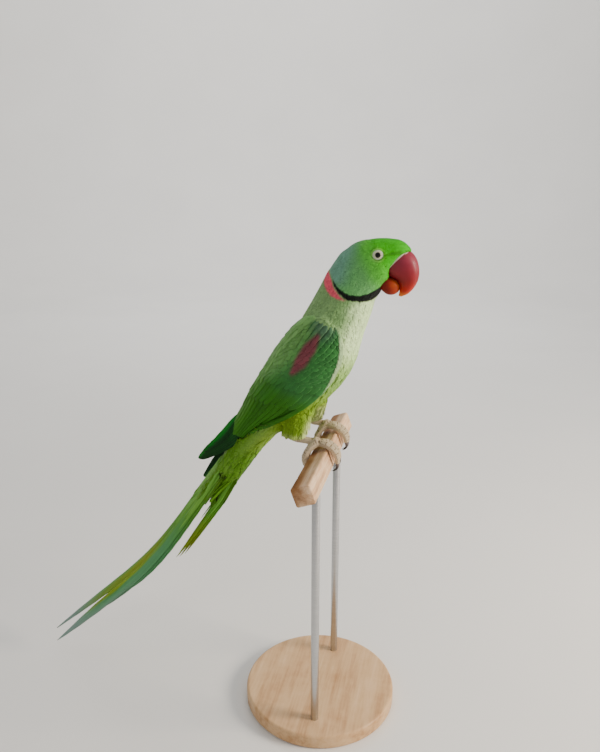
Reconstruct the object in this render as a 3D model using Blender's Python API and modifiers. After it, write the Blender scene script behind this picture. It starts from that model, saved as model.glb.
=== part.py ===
"""Life-size still model of a cock Alexandrine parakeet gripping a cut length of perch on a plain stand.

Metres, +Z up. The bird faces +X and its left side is +Y. The origin is the middle of the
stand's round underside. Shapes are written in millimetres and scaled once.
"""

from math import atan2, cos, pi, radians, sin

import bmesh
import bpy
import numpy as np
from mathutils import Matrix, Vector

MM = 0.001
GAP = 0.35  # clearance between neighbouring solids
SIDES = {"right": -1, "left": 1}

# Stand and perch
BASE_RADIUS, BASE_THICK, BASE_EDGE = 70.0, 13.0, 2.4
PERCH_AXIS = (5.0, 252.0)  # x, z
PERCH_SIDE, PERCH_ROUNDING, PERCH_TURN = 15.8, 1.9, radians(-20)
PERCH_RIGHT, PERCH_LEFT = 96.0, 76.0  # length kept on each side of the bird
ROD_RADIUS, ROD_OUT, ROD_DEPTH = 3.5, 48.0, 7.0

# Body outline: back point (x, z), belly point (x, z) and half width, from tail coverts to brow
BODY_STATIONS = [
    ((-98.5, 227.5), (-77.8, 213.0), 10.5),
    ((-92.5, 236.5), (-66.0, 230.0), 12.5),
    ((-86.0, 247.0), (-52.5, 249.0), 15.0),
    ((-79.5, 258.5), (-39.0, 264.0), 18.5),
    ((-73.5, 270.0), (-24.0, 274.0), 23.0),
    ((-68.0, 281.0), (-9.0, 285.5), 27.0),
    ((-62.0, 293.5), (4.0, 297.5), 30.0),
    ((-55.5, 306.5), (15.5, 310.0), 32.5),
    ((-47.0, 321.5), (23.5, 322.0), 34.0),
    ((-37.5, 337.0), (29.0, 334.5), 34.0),
    ((-28.5, 350.5), (31.6, 345.5), 33.0),
    ((-20.8, 362.0), (34.0, 355.5), 30.5),
    ((-15.2, 372.0), (37.2, 365.0), 27.0),
    ((-10.0, 380.8), (39.8, 373.0), 23.5),
    ((-5.0, 389.8), (41.6, 379.6), 21.2),
    ((-0.8, 397.6), (42.6, 384.0), 20.4),
    ((2.8, 405.0), (44.0, 386.4), 20.0),
    ((8.2, 412.6), (45.4, 388.4), 19.5),
    ((15.4, 420.4), (46.8, 390.6), 19.0),
    ((23.5, 426.3), (48.2, 393.2), 18.5),
    ((32.5, 430.6), (49.4, 396.4), 17.8),
    ((42.0, 432.9), (50.8, 400.8), 16.7),
    ((51.0, 433.2), (52.8, 405.8), 14.8),
    ((59.0, 431.9), (56.4, 410.8), 12.3),
    ((65.0, 429.2), (61.0, 415.6), 9.3),
    ((69.3, 425.4), (66.0, 420.0), 5.6),
    ((70.8, 422.8), (69.6, 421.6), 1.8),
]
RING_POINTS = 20
# Thin cuts that part the body: a point on each cut (x, z) and the lean of its plane from level
HEAD_CUT = ((20, 391), radians(-20))
NECK_CUT = ((10, 366), radians(-8))
RUMP_CUT = ((-52, 264), radians(8))

# Upper bill: ridge point, cutting-edge point and half width, from inside the face to the tip
BILL_STATIONS = [
    ((61.0, 424.5), (47.5, 405.5), 8.6),
    ((66.5, 424.0), (50.4, 404.0), 9.6),
    ((70.9, 421.3), (53.0, 402.6), 9.7),
    ((74.3, 416.4), (55.6, 401.4), 9.2),
    ((76.1, 410.0), (58.4, 400.0), 8.2),
    ((76.3, 404.0), (61.2, 398.0), 6.9),
    ((75.0, 398.8), (63.0, 395.6), 5.4),
    ((72.2, 393.9), (63.6, 393.0), 3.9),
    ((68.2, 389.7), (63.0, 390.6), 2.3),
    ((63.6, 387.4), (61.9, 388.4), 0.8),
]
CERE_WIDTH = 2.2  # soft band in front of the face
LOWER_BILL_STATIONS = [  # keel point, rim point, half width
    ((44.5, 395.5), (46.5, 403.5), 7.0),
    ((48.4, 391.6), (50.6, 402.8), 8.3),
    ((52.0, 389.2), (54.0, 401.4), 8.1),
    ((55.6, 388.7), (56.9, 399.6), 7.2),
    ((58.8, 389.7), (59.4, 397.2), 5.6),
    ((61.0, 391.6), (61.0, 394.9), 3.2),
    ((61.9, 393.1), (61.8, 393.8), 1.0),
]
BILL_POINTS = 14

EYE_RADIUS, EYE_CENTRE = 4.7, (44.9, 12.4, 421.0)

# Folded wing: front edge point, back edge point, outward bow and thickness, shoulder to rear
WING_STATIONS = [
    ((11.5, 27.5, 370.0), (4.5, 25.0, 373.5), 0.5, 1.6),
    ((18.0, 29.5, 362.5), (-8.0, 21.0, 372.5), 2.8, 4.4),
    ((20.6, 30.8, 352.0), (-20.0, 14.0, 364.5), 7.5, 5.4),
    ((20.3, 31.2, 341.5), (-31.0, 8.0, 352.5), 11.5, 5.8),
    ((17.2, 31.4, 331.0), (-40.5, 4.8, 340.0), 14.0, 6.0),
    ((11.0, 31.2, 318.5), (-50.0, 3.8, 324.5), 15.0, 6.0),
    ((2.0, 30.4, 307.0), (-58.4, 3.5, 311.0), 14.0, 5.8),
    ((-10.0, 29.0, 296.5), (-64.8, 3.5, 299.5), 12.0, 5.4),
    ((-22.5, 27.0, 287.0), (-70.0, 3.6, 289.5), 9.5, 4.8),
    ((-36.0, 24.2, 278.5), (-75.0, 3.8, 280.5), 7.0, 4.0),
    ((-50.0, 20.4, 270.0), (-79.5, 4.4, 272.0), 4.5, 3.2),
    ((-63.0, 16.4, 261.5), (-82.5, 6.4, 263.5), 2.2, 2.0),
]
WING_POINTS = 14
COVERT_CUT = ((-24, 312), radians(-28))  # between the coverts and the flight feathers
PRIMARY_STATIONS = [
    ((-56.0, 17.0, 268.0), (-76.0, 5.0, 283.0), 2.5, 2.2),
    ((-65.0, 14.6, 259.5), (-83.0, 4.2, 275.5), 2.2, 2.4),
    ((-76.0, 12.4, 250.5), (-90.5, 3.8, 266.5), 1.8, 2.3),
    ((-87.0, 10.2, 242.5), (-99.0, 3.4, 258.5), 1.4, 2.1),
    ((-98.0, 8.4, 236.8), (-107.0, 3.2, 251.0), 1.0, 1.8),
    ((-107.0, 6.6, 233.6), (-111.6, 3.2, 243.5), 0.6, 1.4),
    ((-112.8, 5.2, 233.8), (-114.0, 4.2, 236.8), 0.2, 0.9),
]
PRIMARY_POINTS = 12
# The right wing tip lies over the rump, and the left one hangs lower, beside the tail
PRIMARY_DROOP = {"right": 0.0, "left": radians(25)}
PRIMARY_SLIP = {"right": 0.0, "left": 0.13}  # share of the length that it shows more of

# Tail: six pairs of feathers, laid in an arched fan that is rolled to the right
TAIL_ROOT, TAIL_LENGTH = (-97.2, 226.2), 285.0
TAIL_SLOPE_START, TAIL_SLOPE_END = radians(55), radians(42.5)
TAIL_EASE = (0.22, 0.68)  # shares of the length between which the slope eases
TAIL_ROLL_START, TAIL_ROLL_END = radians(22), radians(42)
TAIL_ARCH = radians(2.0)  # bend of the fan per millimetre out from the ridge
PAIR_LENGTHS = (1.0, 0.72, 0.57, 0.365, 0.355, 0.335)  # shares of the tail's length
PAIR_WIDTHS = (13.5, 13.0, 12.5, 12.0, 11.5, 11.0)
PAIR_SHIFTS = (0.3, 1.8, 2.8, 0.6, 0.6, 0.6)  # inner edge out from the ridge at the root
PAIR_DROPS = {  # extra room below the fan, where the right outer three hang loose
    "right": (0.0, 0.0, 0.0, 13.0, 13.8, 14.6),
    "left": (0.0, 0.0, 0.0, 1.5, 2.0, 2.5),
}
PAIR_SPLAYS = (0.0, 0.6, 1.4, 1.0, 1.6, 2.2)  # degrees from the ridge
FEATHER_THICK, LAYER_STEP = 0.8, 1.2
FEATHER_SECTION = ((-1, 0), (-0.3, 1), (0.5, 1), (1, 0), (0.5, -1), (-0.3, -1))  # out, up

# Legs: the bird squats, so the shank lies nearly level behind the perch
LEG_OUT = 23.0
LEG_FORWARD = {"right": 0.0, "left": 5.0}
THIGH_STATIONS = [  # middle x, out, z; radius fore and aft; radius across
    ((-16.0, 12.0, 304.0), 15.0, 10.0),
    ((-16.5, 14.5, 295.5), 14.0, 10.0),
    ((-17.5, 18.5, 286.0), 13.0, 9.0),
    ((-18.5, 22.0, 278.0), 11.5, 7.4),
    ((-18.5, 22.8, 273.5), 8.5, 5.6),
    ((-18.5, 23.0, 271.0), 5.0, 4.2),
]
THIGH_POINTS = 12
ANKLE, FOOT = (-20.5, 23.0, 269.4), (-0.4, 23.0, 267.0)
SHANK_RADIUS, PAD_RADIUS = 3.3, 4.5
GRIP_RADIUS = 13.3  # of the toes' line round the perch axis
TOE_RADIUS, CLAW_LENGTH, CLAW_RADIUS = 3.0, 9.0, 1.6
# Toe: angles round the perch, in degrees, of its hidden root and of its end, and sideways reach
TOES = {
    "inner_front": (117.0, 4.0, -4.4),
    "outer_front": (113.0, -5.0, 2.6),
    "inner_back": (97.0, 184.0, -5.0),
    "outer_back": (101.0, 194.0, 6.5),
}


# --------------------------------------------------------------------------- helpers


def clear_scene():
    for obj in list(bpy.data.objects):
        bpy.data.objects.remove(obj, do_unlink=True)


def new_collection(name):
    collection = bpy.data.collections.new(name)
    bpy.context.scene.collection.children.link(collection)
    return collection


def material(name, colour, roughness, metallic=0.0):
    made = bpy.data.materials.new(name)
    made.use_nodes = True
    shader = made.node_tree.nodes["Principled BSDF"]
    shader.inputs["Base Color"].default_value = (*colour, 1.0)
    shader.inputs["Roughness"].default_value = roughness
    shader.inputs["Metallic"].default_value = metallic
    made.diffuse_color = (*colour, 1.0)
    return made


def add_object(name, mesh, made_of, collection):
    obj = bpy.data.objects.new(name, mesh)
    collection.objects.link(obj)
    mesh.materials.clear()
    mesh.materials.append(made_of)
    return obj


def catmull_rom(rows, per_span):
    """Rows of numbers, with per_span rows for each span on one smooth curve through them."""
    rows = np.asarray(rows, float)
    padded = np.vstack([2 * rows[0] - rows[1], rows, 2 * rows[-1] - rows[-2]])
    out = []
    for i in range(len(rows) - 1):
        a, b, c, d = padded[i : i + 4]
        for t in np.arange(per_span) / per_span:
            out.append(
                0.5 * (2 * b + (c - a) * t + (2 * a - 5 * b + 4 * c - d) * t**2
                       + (3 * b - a - 3 * c + d) * t**3)
            )
    out.append(rows[-1])
    return np.array(out)


def loft(name, rings):
    """A closed mesh through rings of equally many points, in millimetres, with flat ends."""
    mesh = bpy.data.meshes.new(name)
    built = bmesh.new()
    loops = [[built.verts.new(Vector(point) * MM) for point in ring] for ring in rings]
    for lower, upper in zip(loops, loops[1:]):
        for i in range(len(lower)):
            j = (i + 1) % len(lower)
            built.faces.new((lower[i], lower[j], upper[j], upper[i]))
    built.faces.new(reversed(loops[0]))
    built.faces.new(loops[-1])
    bmesh.ops.recalc_face_normals(built, faces=built.faces)
    bmesh.ops.triangulate(built, faces=built.faces)
    built.to_mesh(mesh)
    built.free()
    mesh.shade_smooth()
    return mesh


def egg_ring(top, bottom, half_width, count, fullness=2.25, heavy=0.0):
    """A ring across the median plane: a superellipse, widest below the middle if heavy > 0."""
    top, bottom = np.asarray(top, float), np.asarray(bottom, float)
    middle, half = (top + bottom) / 2, (top - bottom) / 2
    ring = []
    for angle in 2 * pi * np.arange(count) / count:
        up = np.sign(cos(angle)) * abs(cos(angle)) ** (2 / fullness)
        out = np.sign(sin(angle)) * abs(sin(angle)) ** (2 / fullness)
        x, z = middle + half * up
        ring.append((x, half_width * out * (1 - heavy * up), z))
    return ring


def median_loft(name, stations, count, per_span, fullness=2.25, heavy=0.0):
    rows = [(*top, *bottom, half) for top, bottom, half in stations]
    rings = [
        egg_ring(row[:2], row[2:4], row[4], count, fullness, heavy)
        for row in catmull_rom(rows, per_span)
    ]
    return loft(name, rings)


def part_off(mesh, name, cuts):
    """A copy of mesh kept on one side of each cut (point, lean, side), GAP apart in all."""
    built = bmesh.new()
    built.from_mesh(mesh)
    for (x, z), lean, side in cuts:
        normal = Vector((-sin(lean), 0, cos(lean))) * side
        point = Vector((x, 0, z)) * MM + normal * (GAP / 2 * MM)
        everything = built.verts[:] + built.edges[:] + built.faces[:]
        cut = bmesh.ops.bisect_plane(
            built, geom=everything, plane_co=point, plane_no=normal, clear_inner=True
        )
        edges = [e for e in cut["geom_cut"] if isinstance(e, bmesh.types.BMEdge)]
        bmesh.ops.holes_fill(built, edges=edges, sides=0)
    bmesh.ops.triangulate(built, faces=built.faces)
    bmesh.ops.recalc_face_normals(built, faces=built.faces)
    made = bpy.data.meshes.new(name)
    built.to_mesh(made)
    built.free()
    made.shade_smooth()
    return made


def evaluated_mesh(obj, name):
    bpy.context.view_layer.update()
    graph = bpy.context.evaluated_depsgraph_get()
    mesh = bpy.data.meshes.new_from_object(obj.evaluated_get(graph))
    mesh.name = name
    return mesh


def keep_largest(mesh):
    """Removes the crumbs that a Boolean may leave beside the main body."""
    built = bmesh.new()
    built.from_mesh(mesh)
    unseen, islands = set(built.verts), []
    while unseen:
        stack, island = [unseen.pop()], set()
        while stack:
            vert = stack.pop()
            island.add(vert)
            for edge in vert.link_edges:
                other = edge.other_vert(vert)
                if other in unseen:
                    unseen.remove(other)
                    stack.append(other)
        islands.append(island)
    islands.sort(key=len)
    for island in islands[:-1]:
        bmesh.ops.delete(built, geom=list(island), context="VERTS")
    built.to_mesh(mesh)
    built.free()


def combine(target, tools, operation, cutters, grow=0.0):
    """Cuts the tools' meshes from target, each grown by grow millimetres, or joins them to it."""
    for tool in tools:
        cutter = bpy.data.objects.new(f"{target.name}_by_{tool.name}", tool.copy())
        cutters.objects.link(cutter)
        cutter.hide_render = True
        cutter.display_type = "WIRE"
        if grow:
            swell = cutter.modifiers.new("swell", "DISPLACE")
            swell.strength = grow * MM
            swell.mid_level = 0.0
        modifier = target.modifiers.new(operation.lower(), "BOOLEAN")
        modifier.operation = operation
        modifier.solver = "EXACT"
        modifier.object = cutter
    made_of = target.data.materials[0]
    mesh = evaluated_mesh(target, target.name)
    target.modifiers.clear()
    target.data = mesh
    mesh.materials.clear()
    mesh.materials.append(made_of)
    keep_largest(mesh)


def tube(name, points, radii, sides=8):
    """A solid tube through points in millimetres, rounded at its far end."""
    points = [Vector(p) for p in points]
    rings = []
    side_axis = None
    for i, point in enumerate(points):
        ahead = points[min(i + 1, len(points) - 1)] - points[max(i - 1, 0)]
        ahead.normalize()
        if side_axis is None:
            side_axis = ahead.orthogonal().normalized()
        side_axis = (side_axis - ahead * side_axis.dot(ahead)).normalized()
        other = ahead.cross(side_axis)
        rings.append([
            point + (side_axis * cos(a) + other * sin(a)) * radii[i]
            for a in 2 * pi * np.arange(sides) / sides
        ])
    return loft(name, rings)


# --------------------------------------------------------------------------- the bird


def build_body(parts, made_of):
    whole = median_loft("body", BODY_STATIONS, RING_POINTS, 1, heavy=0.06)
    cuts = {
        "head": ("plumage_head", [(*HEAD_CUT, 1)]),
        "neck": ("plumage_body", [(*HEAD_CUT, -1), (*NECK_CUT, 1)]),
        "trunk": ("plumage_body", [(*NECK_CUT, -1), (*RUMP_CUT, 1)]),
        "rump": ("plumage_body", [(*RUMP_CUT, -1)]),
    }
    body = {
        name: add_object(name, part_off(whole, name, where), made_of[finish], parts)
        for name, (finish, where) in cuts.items()
    }
    return whole, body


def build_bill(parts, cutters, made_of, head):
    whole = median_loft("bill", BILL_STATIONS, BILL_POINTS, 2, fullness=2.1, heavy=-0.10)
    face, ridge = BILL_STATIONS[1][1], BILL_STATIONS[1][0]
    lean = atan2(ridge[1] - face[1], ridge[0] - face[0])
    front = (face[0] + CERE_WIDTH * sin(lean), face[1] - CERE_WIDTH * cos(lean))
    add_object("cere", part_off(whole, "cere", [(front, lean, 1)]), made_of["cere_skin"], parts)
    add_object("bill_upper", part_off(whole, "bill_upper", [(front, lean, -1)]),
               made_of["bill_horn"], parts)
    lower_mesh = median_loft("bill_lower", LOWER_BILL_STATIONS, BILL_POINTS, 1, fullness=2.3,
                             heavy=0.12)
    lower = add_object("bill_lower", lower_mesh.copy(), made_of["bill_horn"], parts)
    combine(lower, [whole], "DIFFERENCE", cutters, GAP)
    combine(head, [whole, lower_mesh], "DIFFERENCE", cutters, GAP)


def build_eyes(parts, cutters, made_of, head):
    for side, sign in SIDES.items():
        x, y, z = EYE_CENTRE
        mesh = ball(f"eye_{side}", (x, sign * y, z), EYE_RADIUS, 12, 8)
        add_object(f"eye_{side}", mesh, made_of["eye_glass"], parts)
        combine(head, [mesh], "DIFFERENCE", cutters, GAP)


def blade(name, stations, count, per_span, sign, grow=0.0):
    """A thin, bowed blade: each section runs from its front edge over the outside and back."""
    rows = [(*front, *back, bow, thick) for front, back, bow, thick in stations]
    rings = []
    rows = catmull_rom(rows, per_span)
    middles = (rows[:, :3] + rows[:, 3:6]) / 2
    along = np.gradient(middles, axis=0)
    half = count // 2
    for i, (row, axis) in enumerate(zip(rows, along)):
        front, back, bow, thick = row[:3], row[3:6], row[6], row[7] + 2 * grow
        chord = back - front
        out = np.cross(chord, axis)
        out *= np.sign(out[1]) / np.linalg.norm(out)
        past_end = grow * ((i == len(rows) - 1) - (i == 0)) * axis / np.linalg.norm(axis)
        reach, drop = grow * chord / np.linalg.norm(chord), grow * bow * 4 / np.linalg.norm(chord)
        front = front + past_end - reach - out * drop
        back = back + past_end + reach - out * drop
        chord = back - front
        bow = bow + drop
        ring = []
        for k in range(count):
            outer = k <= half
            share = k / half if outer else (count - k) / half
            share = (1 - cos(pi * share)) / 2
            lens = (4 * share * (1 - share)) ** 0.5
            lift = bow * 4 * share * (1 - share) + (0.5 if outer else -0.5) * thick * lens
            x, y, z = front + chord * share + out * lift
            ring.append((x, sign * y, z))
        rings.append(ring)
    return loft(name, rings)


def drooped(stations, turn, slip):
    """The stations turned down and outwards about the first one, and drawn out behind."""
    pivot = np.array(stations[0][0])
    rows = []
    for front, back, bow, thick in stations:
        moved = []
        for point in (np.array(front), np.array(back)):
            away = (point - pivot) * (1 + slip)
            away += np.array([0, 0.8, -1]) * -away[0] * sin(turn)
            moved.append(tuple(pivot + away))
        rows.append((*moved, bow, thick))
    return rows


def build_wing(side, parts, cutters, made_of):
    """Builds one wing and gives the shapes, GAP larger, that its neighbours are cut by."""
    sign = SIDES[side]
    tip_rows = drooped(PRIMARY_STATIONS, PRIMARY_DROOP[side], PRIMARY_SLIP[side])
    shell, grown_shell = (
        blade(f"wing_{side}", WING_STATIONS, WING_POINTS, 1, sign, grow) for grow in (0, GAP)
    )
    tips, grown_tips = (
        blade(f"wing_{side}_primaries", tip_rows, PRIMARY_POINTS, 1, sign, grow)
        for grow in (0, GAP)
    )
    for part, keep in (("coverts", 1), ("secondaries", -1)):
        name = f"wing_{side}_{part}"
        add_object(name, part_off(shell, name, [(*COVERT_CUT, keep)]), made_of["plumage_wing"],
                   parts)
    primaries = add_object(f"wing_{side}_primaries", tips, made_of["plumage_quill"], parts)
    combine(primaries, [grown_shell], "DIFFERENCE", cutters)
    return [grown_shell, grown_tips]


def tail_slope(share):
    start, end = TAIL_EASE
    eased = min(max((share - start) / (end - start), 0.0), 1.0)
    return TAIL_SLOPE_START + (TAIL_SLOPE_END - TAIL_SLOPE_START) * (1 - cos(pi * eased)) / 2


def tail_frame(distance):
    """Point on the ridge, the tail's own upright, and the side and normal of the rolled fan."""
    point = np.array([TAIL_ROOT[0], 0.0, TAIL_ROOT[1]])
    steps = 24
    for i in range(steps):
        slope = tail_slope(distance * (i + 0.5) / steps / TAIL_LENGTH)
        point = point + np.array([-cos(slope), 0, -sin(slope)]) * distance / steps
    share = distance / TAIL_LENGTH
    slope = tail_slope(share)
    roll = TAIL_ROLL_START + (TAIL_ROLL_END - TAIL_ROLL_START) * share
    upright = np.array([-sin(slope), 0, cos(slope)])
    across = np.array([0.0, 1.0, 0.0])
    side = across * cos(roll) + upright * sin(roll)
    return point, upright, side, upright * cos(roll) - across * sin(roll)


def fan_point(distance, out, level, drop):
    """A point of the arched fan, out along it from the ridge (left is positive), level above
    its surface and then drop below that."""
    point, upright, lateral, normal = tail_frame(distance)
    bend = TAIL_ARCH * abs(out) / 2
    over = lateral * cos(bend) * np.sign(out) - normal * sin(bend)
    above = normal * cos(2 * bend) + lateral * sin(2 * bend) * np.sign(out)
    return point + over * abs(out) + above * level - upright * drop


def feather_half_width(share, width):
    """Half width of a graduated tail feather: nearly parallel, then drawn out to a narrow tip."""
    return width / 2 * (1 - 0.35 * share**1.5) * (1 - share**5) ** 0.7


def build_tail(parts, made_of):
    pairs = zip(PAIR_LENGTHS, PAIR_WIDTHS, PAIR_SHIFTS, PAIR_SPLAYS)
    for pair, (length_share, width, shift, splay) in enumerate(pairs):
        for side, sign in SIDES.items():
            length = TAIL_LENGTH * length_share
            rings = []
            count = 7
            for i in range(count + 1):
                share = min(1 - (1 - i / count) ** 1.3, 0.985)
                half = max(feather_half_width(share, width), 0.7)
                middle = shift + width / 2 + length * share * sin(radians(splay))
                rings.append([
                    fan_point(length * share + GAP, sign * (middle + half * across),
                              FEATHER_THICK / 2 * level - LAYER_STEP * pair,
                              PAIR_DROPS[side][pair])
                    for across, level in FEATHER_SECTION
                ])
            name = f"tail_{side}_{pair + 1}"
            add_object(name, loft(name, rings), made_of["plumage_tail"], parts)


def build_thigh(side, parts, made_of):
    sign = SIDES[side]
    rings = []
    rows = [(*middle, along, across) for middle, along, across in THIGH_STATIONS]
    for x, y, z, along, across in catmull_rom(rows, 2):
        rings.append([
            (x + LEG_FORWARD[side] + along * cos(a), sign * (y + across * sin(a)), z)
            for a in 2 * pi * np.arange(THIGH_POINTS) / THIGH_POINTS
        ])
    name = f"thigh_{side}"
    return add_object(name, loft(name, rings), made_of["plumage_body"], parts)


def grip_point(angle_deg, out, radius=GRIP_RADIUS):
    """A point round the perch axis, at an angle above +X."""
    angle = radians(angle_deg)
    return np.array([PERCH_AXIS[0] + radius * cos(angle), out, PERCH_AXIS[1] + radius * sin(angle)])


def ball(name, centre, radius, segments, rings):
    built = bmesh.new()
    bmesh.ops.create_uvsphere(
        built, u_segments=segments, v_segments=rings, radius=radius * MM,
        matrix=Matrix.Translation(Vector(centre) * MM) @ Matrix.Rotation(pi / 2, 4, "X"),
    )
    mesh = bpy.data.meshes.new(name)
    built.to_mesh(mesh)
    built.free()
    mesh.shade_smooth()
    return mesh


def build_foot(side, parts, cutters, made_of):
    sign = SIDES[side]
    mirrored = np.array([1, sign, 1])
    ankle = (np.array(ANKLE) + (LEG_FORWARD[side], 0, 0)) * mirrored
    pad = np.array(FOOT) * mirrored
    shank = tube(f"foot_{side}", [ankle + (pad - ankle) * t for t in (0, 0.2, 0.45, 0.7, 0.95)],
                 [SHANK_RADIUS * k for k in (0.8, 1.0, 0.9, 0.92, 1.05)])
    foot = add_object(f"foot_{side}", shank, made_of["foot_skin"], parts)
    joined = [ball(f"pad_{side}", pad, PAD_RADIUS, 8, 6)]
    claws = []
    for toe, (start_angle, end_angle, reach) in TOES.items():
        steps = 6
        line, radii = [], []
        for i in range(steps + 1):
            share = i / steps
            angle = start_angle + (end_angle - start_angle) * share
            out = LEG_OUT + reach * (0.3 + 0.7 * min(1.0, share * 2))
            line.append(grip_point(angle, out, GRIP_RADIUS + 1.9 * (1 - share)) * mirrored)
            radii.append(TOE_RADIUS * (1.1 - 0.28 * share) * (1 + 0.05 * cos(6 * pi * share)))
        radii[0] *= 0.7
        radii[-1] *= 0.8
        joined.append(tube(f"toe_{toe}_{side}", line, radii, 6))
        turn = np.sign(end_angle - start_angle)
        claw = build_claw(f"claw_{side}_{toe}", end_angle, turn, LEG_OUT + reach, mirrored,
                          parts, made_of)
        claws.append(claw.data)
    combine(foot, joined, "UNION", cutters)
    return foot, claws


def build_claw(name, start_angle, turn, out, mirrored, parts, made_of):
    line, radii = [], []
    steps = 6
    for i in range(steps + 1):
        share = i / steps
        sweep = np.degrees((GAP + CLAW_LENGTH * share) / GRIP_RADIUS) * turn
        radius = GRIP_RADIUS + 1.0 * sin(pi * share) - 1.6 * share**2
        line.append(grip_point(start_angle + sweep, out, radius) * mirrored)
        radii.append(max(CLAW_RADIUS * (1 - share) ** 0.75, 0.32))
    return add_object(name, tube(name, line, radii, 6), made_of["claw_horn"], parts)


# --------------------------------------------------------------------------- perch and stand


def build_perch(parts, made_of):
    built = bmesh.new()
    bmesh.ops.create_cube(built, size=1.0)
    size = Vector((PERCH_SIDE, PERCH_RIGHT + PERCH_LEFT, PERCH_SIDE))
    bmesh.ops.scale(built, vec=size * MM, verts=built.verts)
    bmesh.ops.bevel(
        built, geom=[e for e in built.edges if abs(e.verts[0].co.y - e.verts[1].co.y) > MM],
        offset=PERCH_ROUNDING * MM, segments=2, profile=0.5, affect="EDGES",
    )
    mesh = bpy.data.meshes.new("perch")
    built.to_mesh(mesh)
    built.free()
    middle = Vector((PERCH_AXIS[0], (PERCH_LEFT - PERCH_RIGHT) / 2, PERCH_AXIS[1]))
    mesh.transform(Matrix.Translation(middle * MM) @ Matrix.Rotation(PERCH_TURN, 4, "Y"))
    return add_object("perch", mesh, made_of["perch_wood"], parts)


def cylinder(name, middle, low, high, radius, segments):
    built = bmesh.new()
    centre = Vector((middle[0], middle[1], (low + high) / 2))
    bmesh.ops.create_cone(
        built, cap_ends=True, segments=segments, radius1=radius * MM, radius2=radius * MM,
        depth=(high - low) * MM, matrix=Matrix.Translation(centre * MM),
    )
    mesh = bpy.data.meshes.new(name)
    built.to_mesh(mesh)
    built.free()
    return mesh


def build_stand(parts, cutters, made_of, perch):
    base = add_object("stand_base", cylinder("stand_base", (0, 0), 0, BASE_THICK, BASE_RADIUS, 32),
                      made_of["stand_wood"], parts)
    edge = base.modifiers.new("rounded rim", "BEVEL")
    edge.width = BASE_EDGE * MM
    edge.segments = 2
    edge.limit_method = "ANGLE"
    edge.angle_limit = radians(60)
    rods = []
    for place, sign in (("near", -1), ("far", 1)):
        name = f"stand_rod_{place}"
        low, high = BASE_THICK - ROD_DEPTH, PERCH_AXIS[1] - PERCH_SIDE / 2 + ROD_DEPTH
        mesh = cylinder(name, (PERCH_AXIS[0], sign * ROD_OUT), low, high, ROD_RADIUS, 20)
        add_object(name, mesh, made_of["stand_steel"], parts)
        rods.append(mesh)
    combine(base, rods, "DIFFERENCE", cutters, GAP)
    combine(perch, rods, "DIFFERENCE", cutters, GAP)


def main():
    clear_scene()
    parts = new_collection("parakeet")
    cutters = new_collection("cutters")
    made_of = {
        "plumage_head": material("plumage_head", (0.20, 0.45, 0.12), 0.65),
        "plumage_body": material("plumage_body", (0.33, 0.48, 0.20), 0.65),
        "plumage_wing": material("plumage_wing", (0.06, 0.24, 0.05), 0.6),
        "plumage_quill": material("plumage_quill", (0.02, 0.07, 0.02), 0.5),
        "plumage_tail": material("plumage_tail", (0.10, 0.38, 0.22), 0.55),
        "bill_horn": material("bill_horn", (0.45, 0.06, 0.04), 0.3),
        "cere_skin": material("cere_skin", (0.75, 0.62, 0.55), 0.55),
        "eye_glass": material("eye_glass", (0.02, 0.015, 0.01), 0.05),
        "foot_skin": material("foot_skin", (0.48, 0.42, 0.34), 0.7),
        "claw_horn": material("claw_horn", (0.10, 0.08, 0.07), 0.4),
        "perch_wood": material("perch_wood", (0.62, 0.42, 0.28), 0.7),
        "stand_wood": material("stand_wood", (0.55, 0.38, 0.24), 0.5),
        "stand_steel": material("stand_steel", (0.60, 0.60, 0.60), 0.3, 1.0),
    }
    whole_body, body = build_body(parts, made_of)
    build_bill(parts, cutters, made_of, body["head"])
    build_eyes(parts, cutters, made_of, body["head"])
    wings = [shape for side in SIDES for shape in build_wing(side, parts, cutters, made_of)]
    for name in ("neck", "trunk", "rump"):
        combine(body[name], wings, "DIFFERENCE", cutters)
    build_tail(parts, made_of)
    perch = build_perch(parts, made_of)
    perch_shape = perch.data.copy()
    build_stand(parts, cutters, made_of, perch)
    for side in SIDES:
        thigh = build_thigh(side, parts, made_of)
        foot, claws = build_foot(side, parts, cutters, made_of)
        combine(foot, [thigh.data, perch_shape, *claws], "DIFFERENCE", cutters, GAP)
        combine(thigh, [whole_body], "DIFFERENCE", cutters, GAP)
        combine(thigh, wings, "DIFFERENCE", cutters)


main()
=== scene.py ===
from math import cos, pi, radians, sin

import bmesh
import bpy
import numpy as np
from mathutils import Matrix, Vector
from mathutils.bvhtree import BVHTree
from mathutils.kdtree import KDTree


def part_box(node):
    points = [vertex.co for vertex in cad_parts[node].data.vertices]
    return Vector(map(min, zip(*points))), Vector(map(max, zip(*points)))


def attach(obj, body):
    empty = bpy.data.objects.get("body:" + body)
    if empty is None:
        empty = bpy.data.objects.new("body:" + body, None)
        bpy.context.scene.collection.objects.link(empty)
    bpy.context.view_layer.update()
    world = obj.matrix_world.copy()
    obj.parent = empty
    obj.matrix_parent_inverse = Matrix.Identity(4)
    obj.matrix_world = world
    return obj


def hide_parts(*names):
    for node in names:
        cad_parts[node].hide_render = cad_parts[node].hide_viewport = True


# A still cock Alexandrine parakeet on a cut length of perch, built around its solids.
# Shapes are worked out in millimetres and turned to metres when a mesh is made.
# +X is forward, +Y is the bird's left and +Z is up.

MM = 0.001
SIDES = {"right": -1, "left": 1}
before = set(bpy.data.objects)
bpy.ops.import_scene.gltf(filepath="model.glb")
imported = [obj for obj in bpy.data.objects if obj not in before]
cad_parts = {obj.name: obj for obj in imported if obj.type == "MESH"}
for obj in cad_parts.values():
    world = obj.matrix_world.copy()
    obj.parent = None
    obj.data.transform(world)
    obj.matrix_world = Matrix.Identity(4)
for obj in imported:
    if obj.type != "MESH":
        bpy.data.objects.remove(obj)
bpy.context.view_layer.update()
rng = np.random.default_rng(7)

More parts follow.
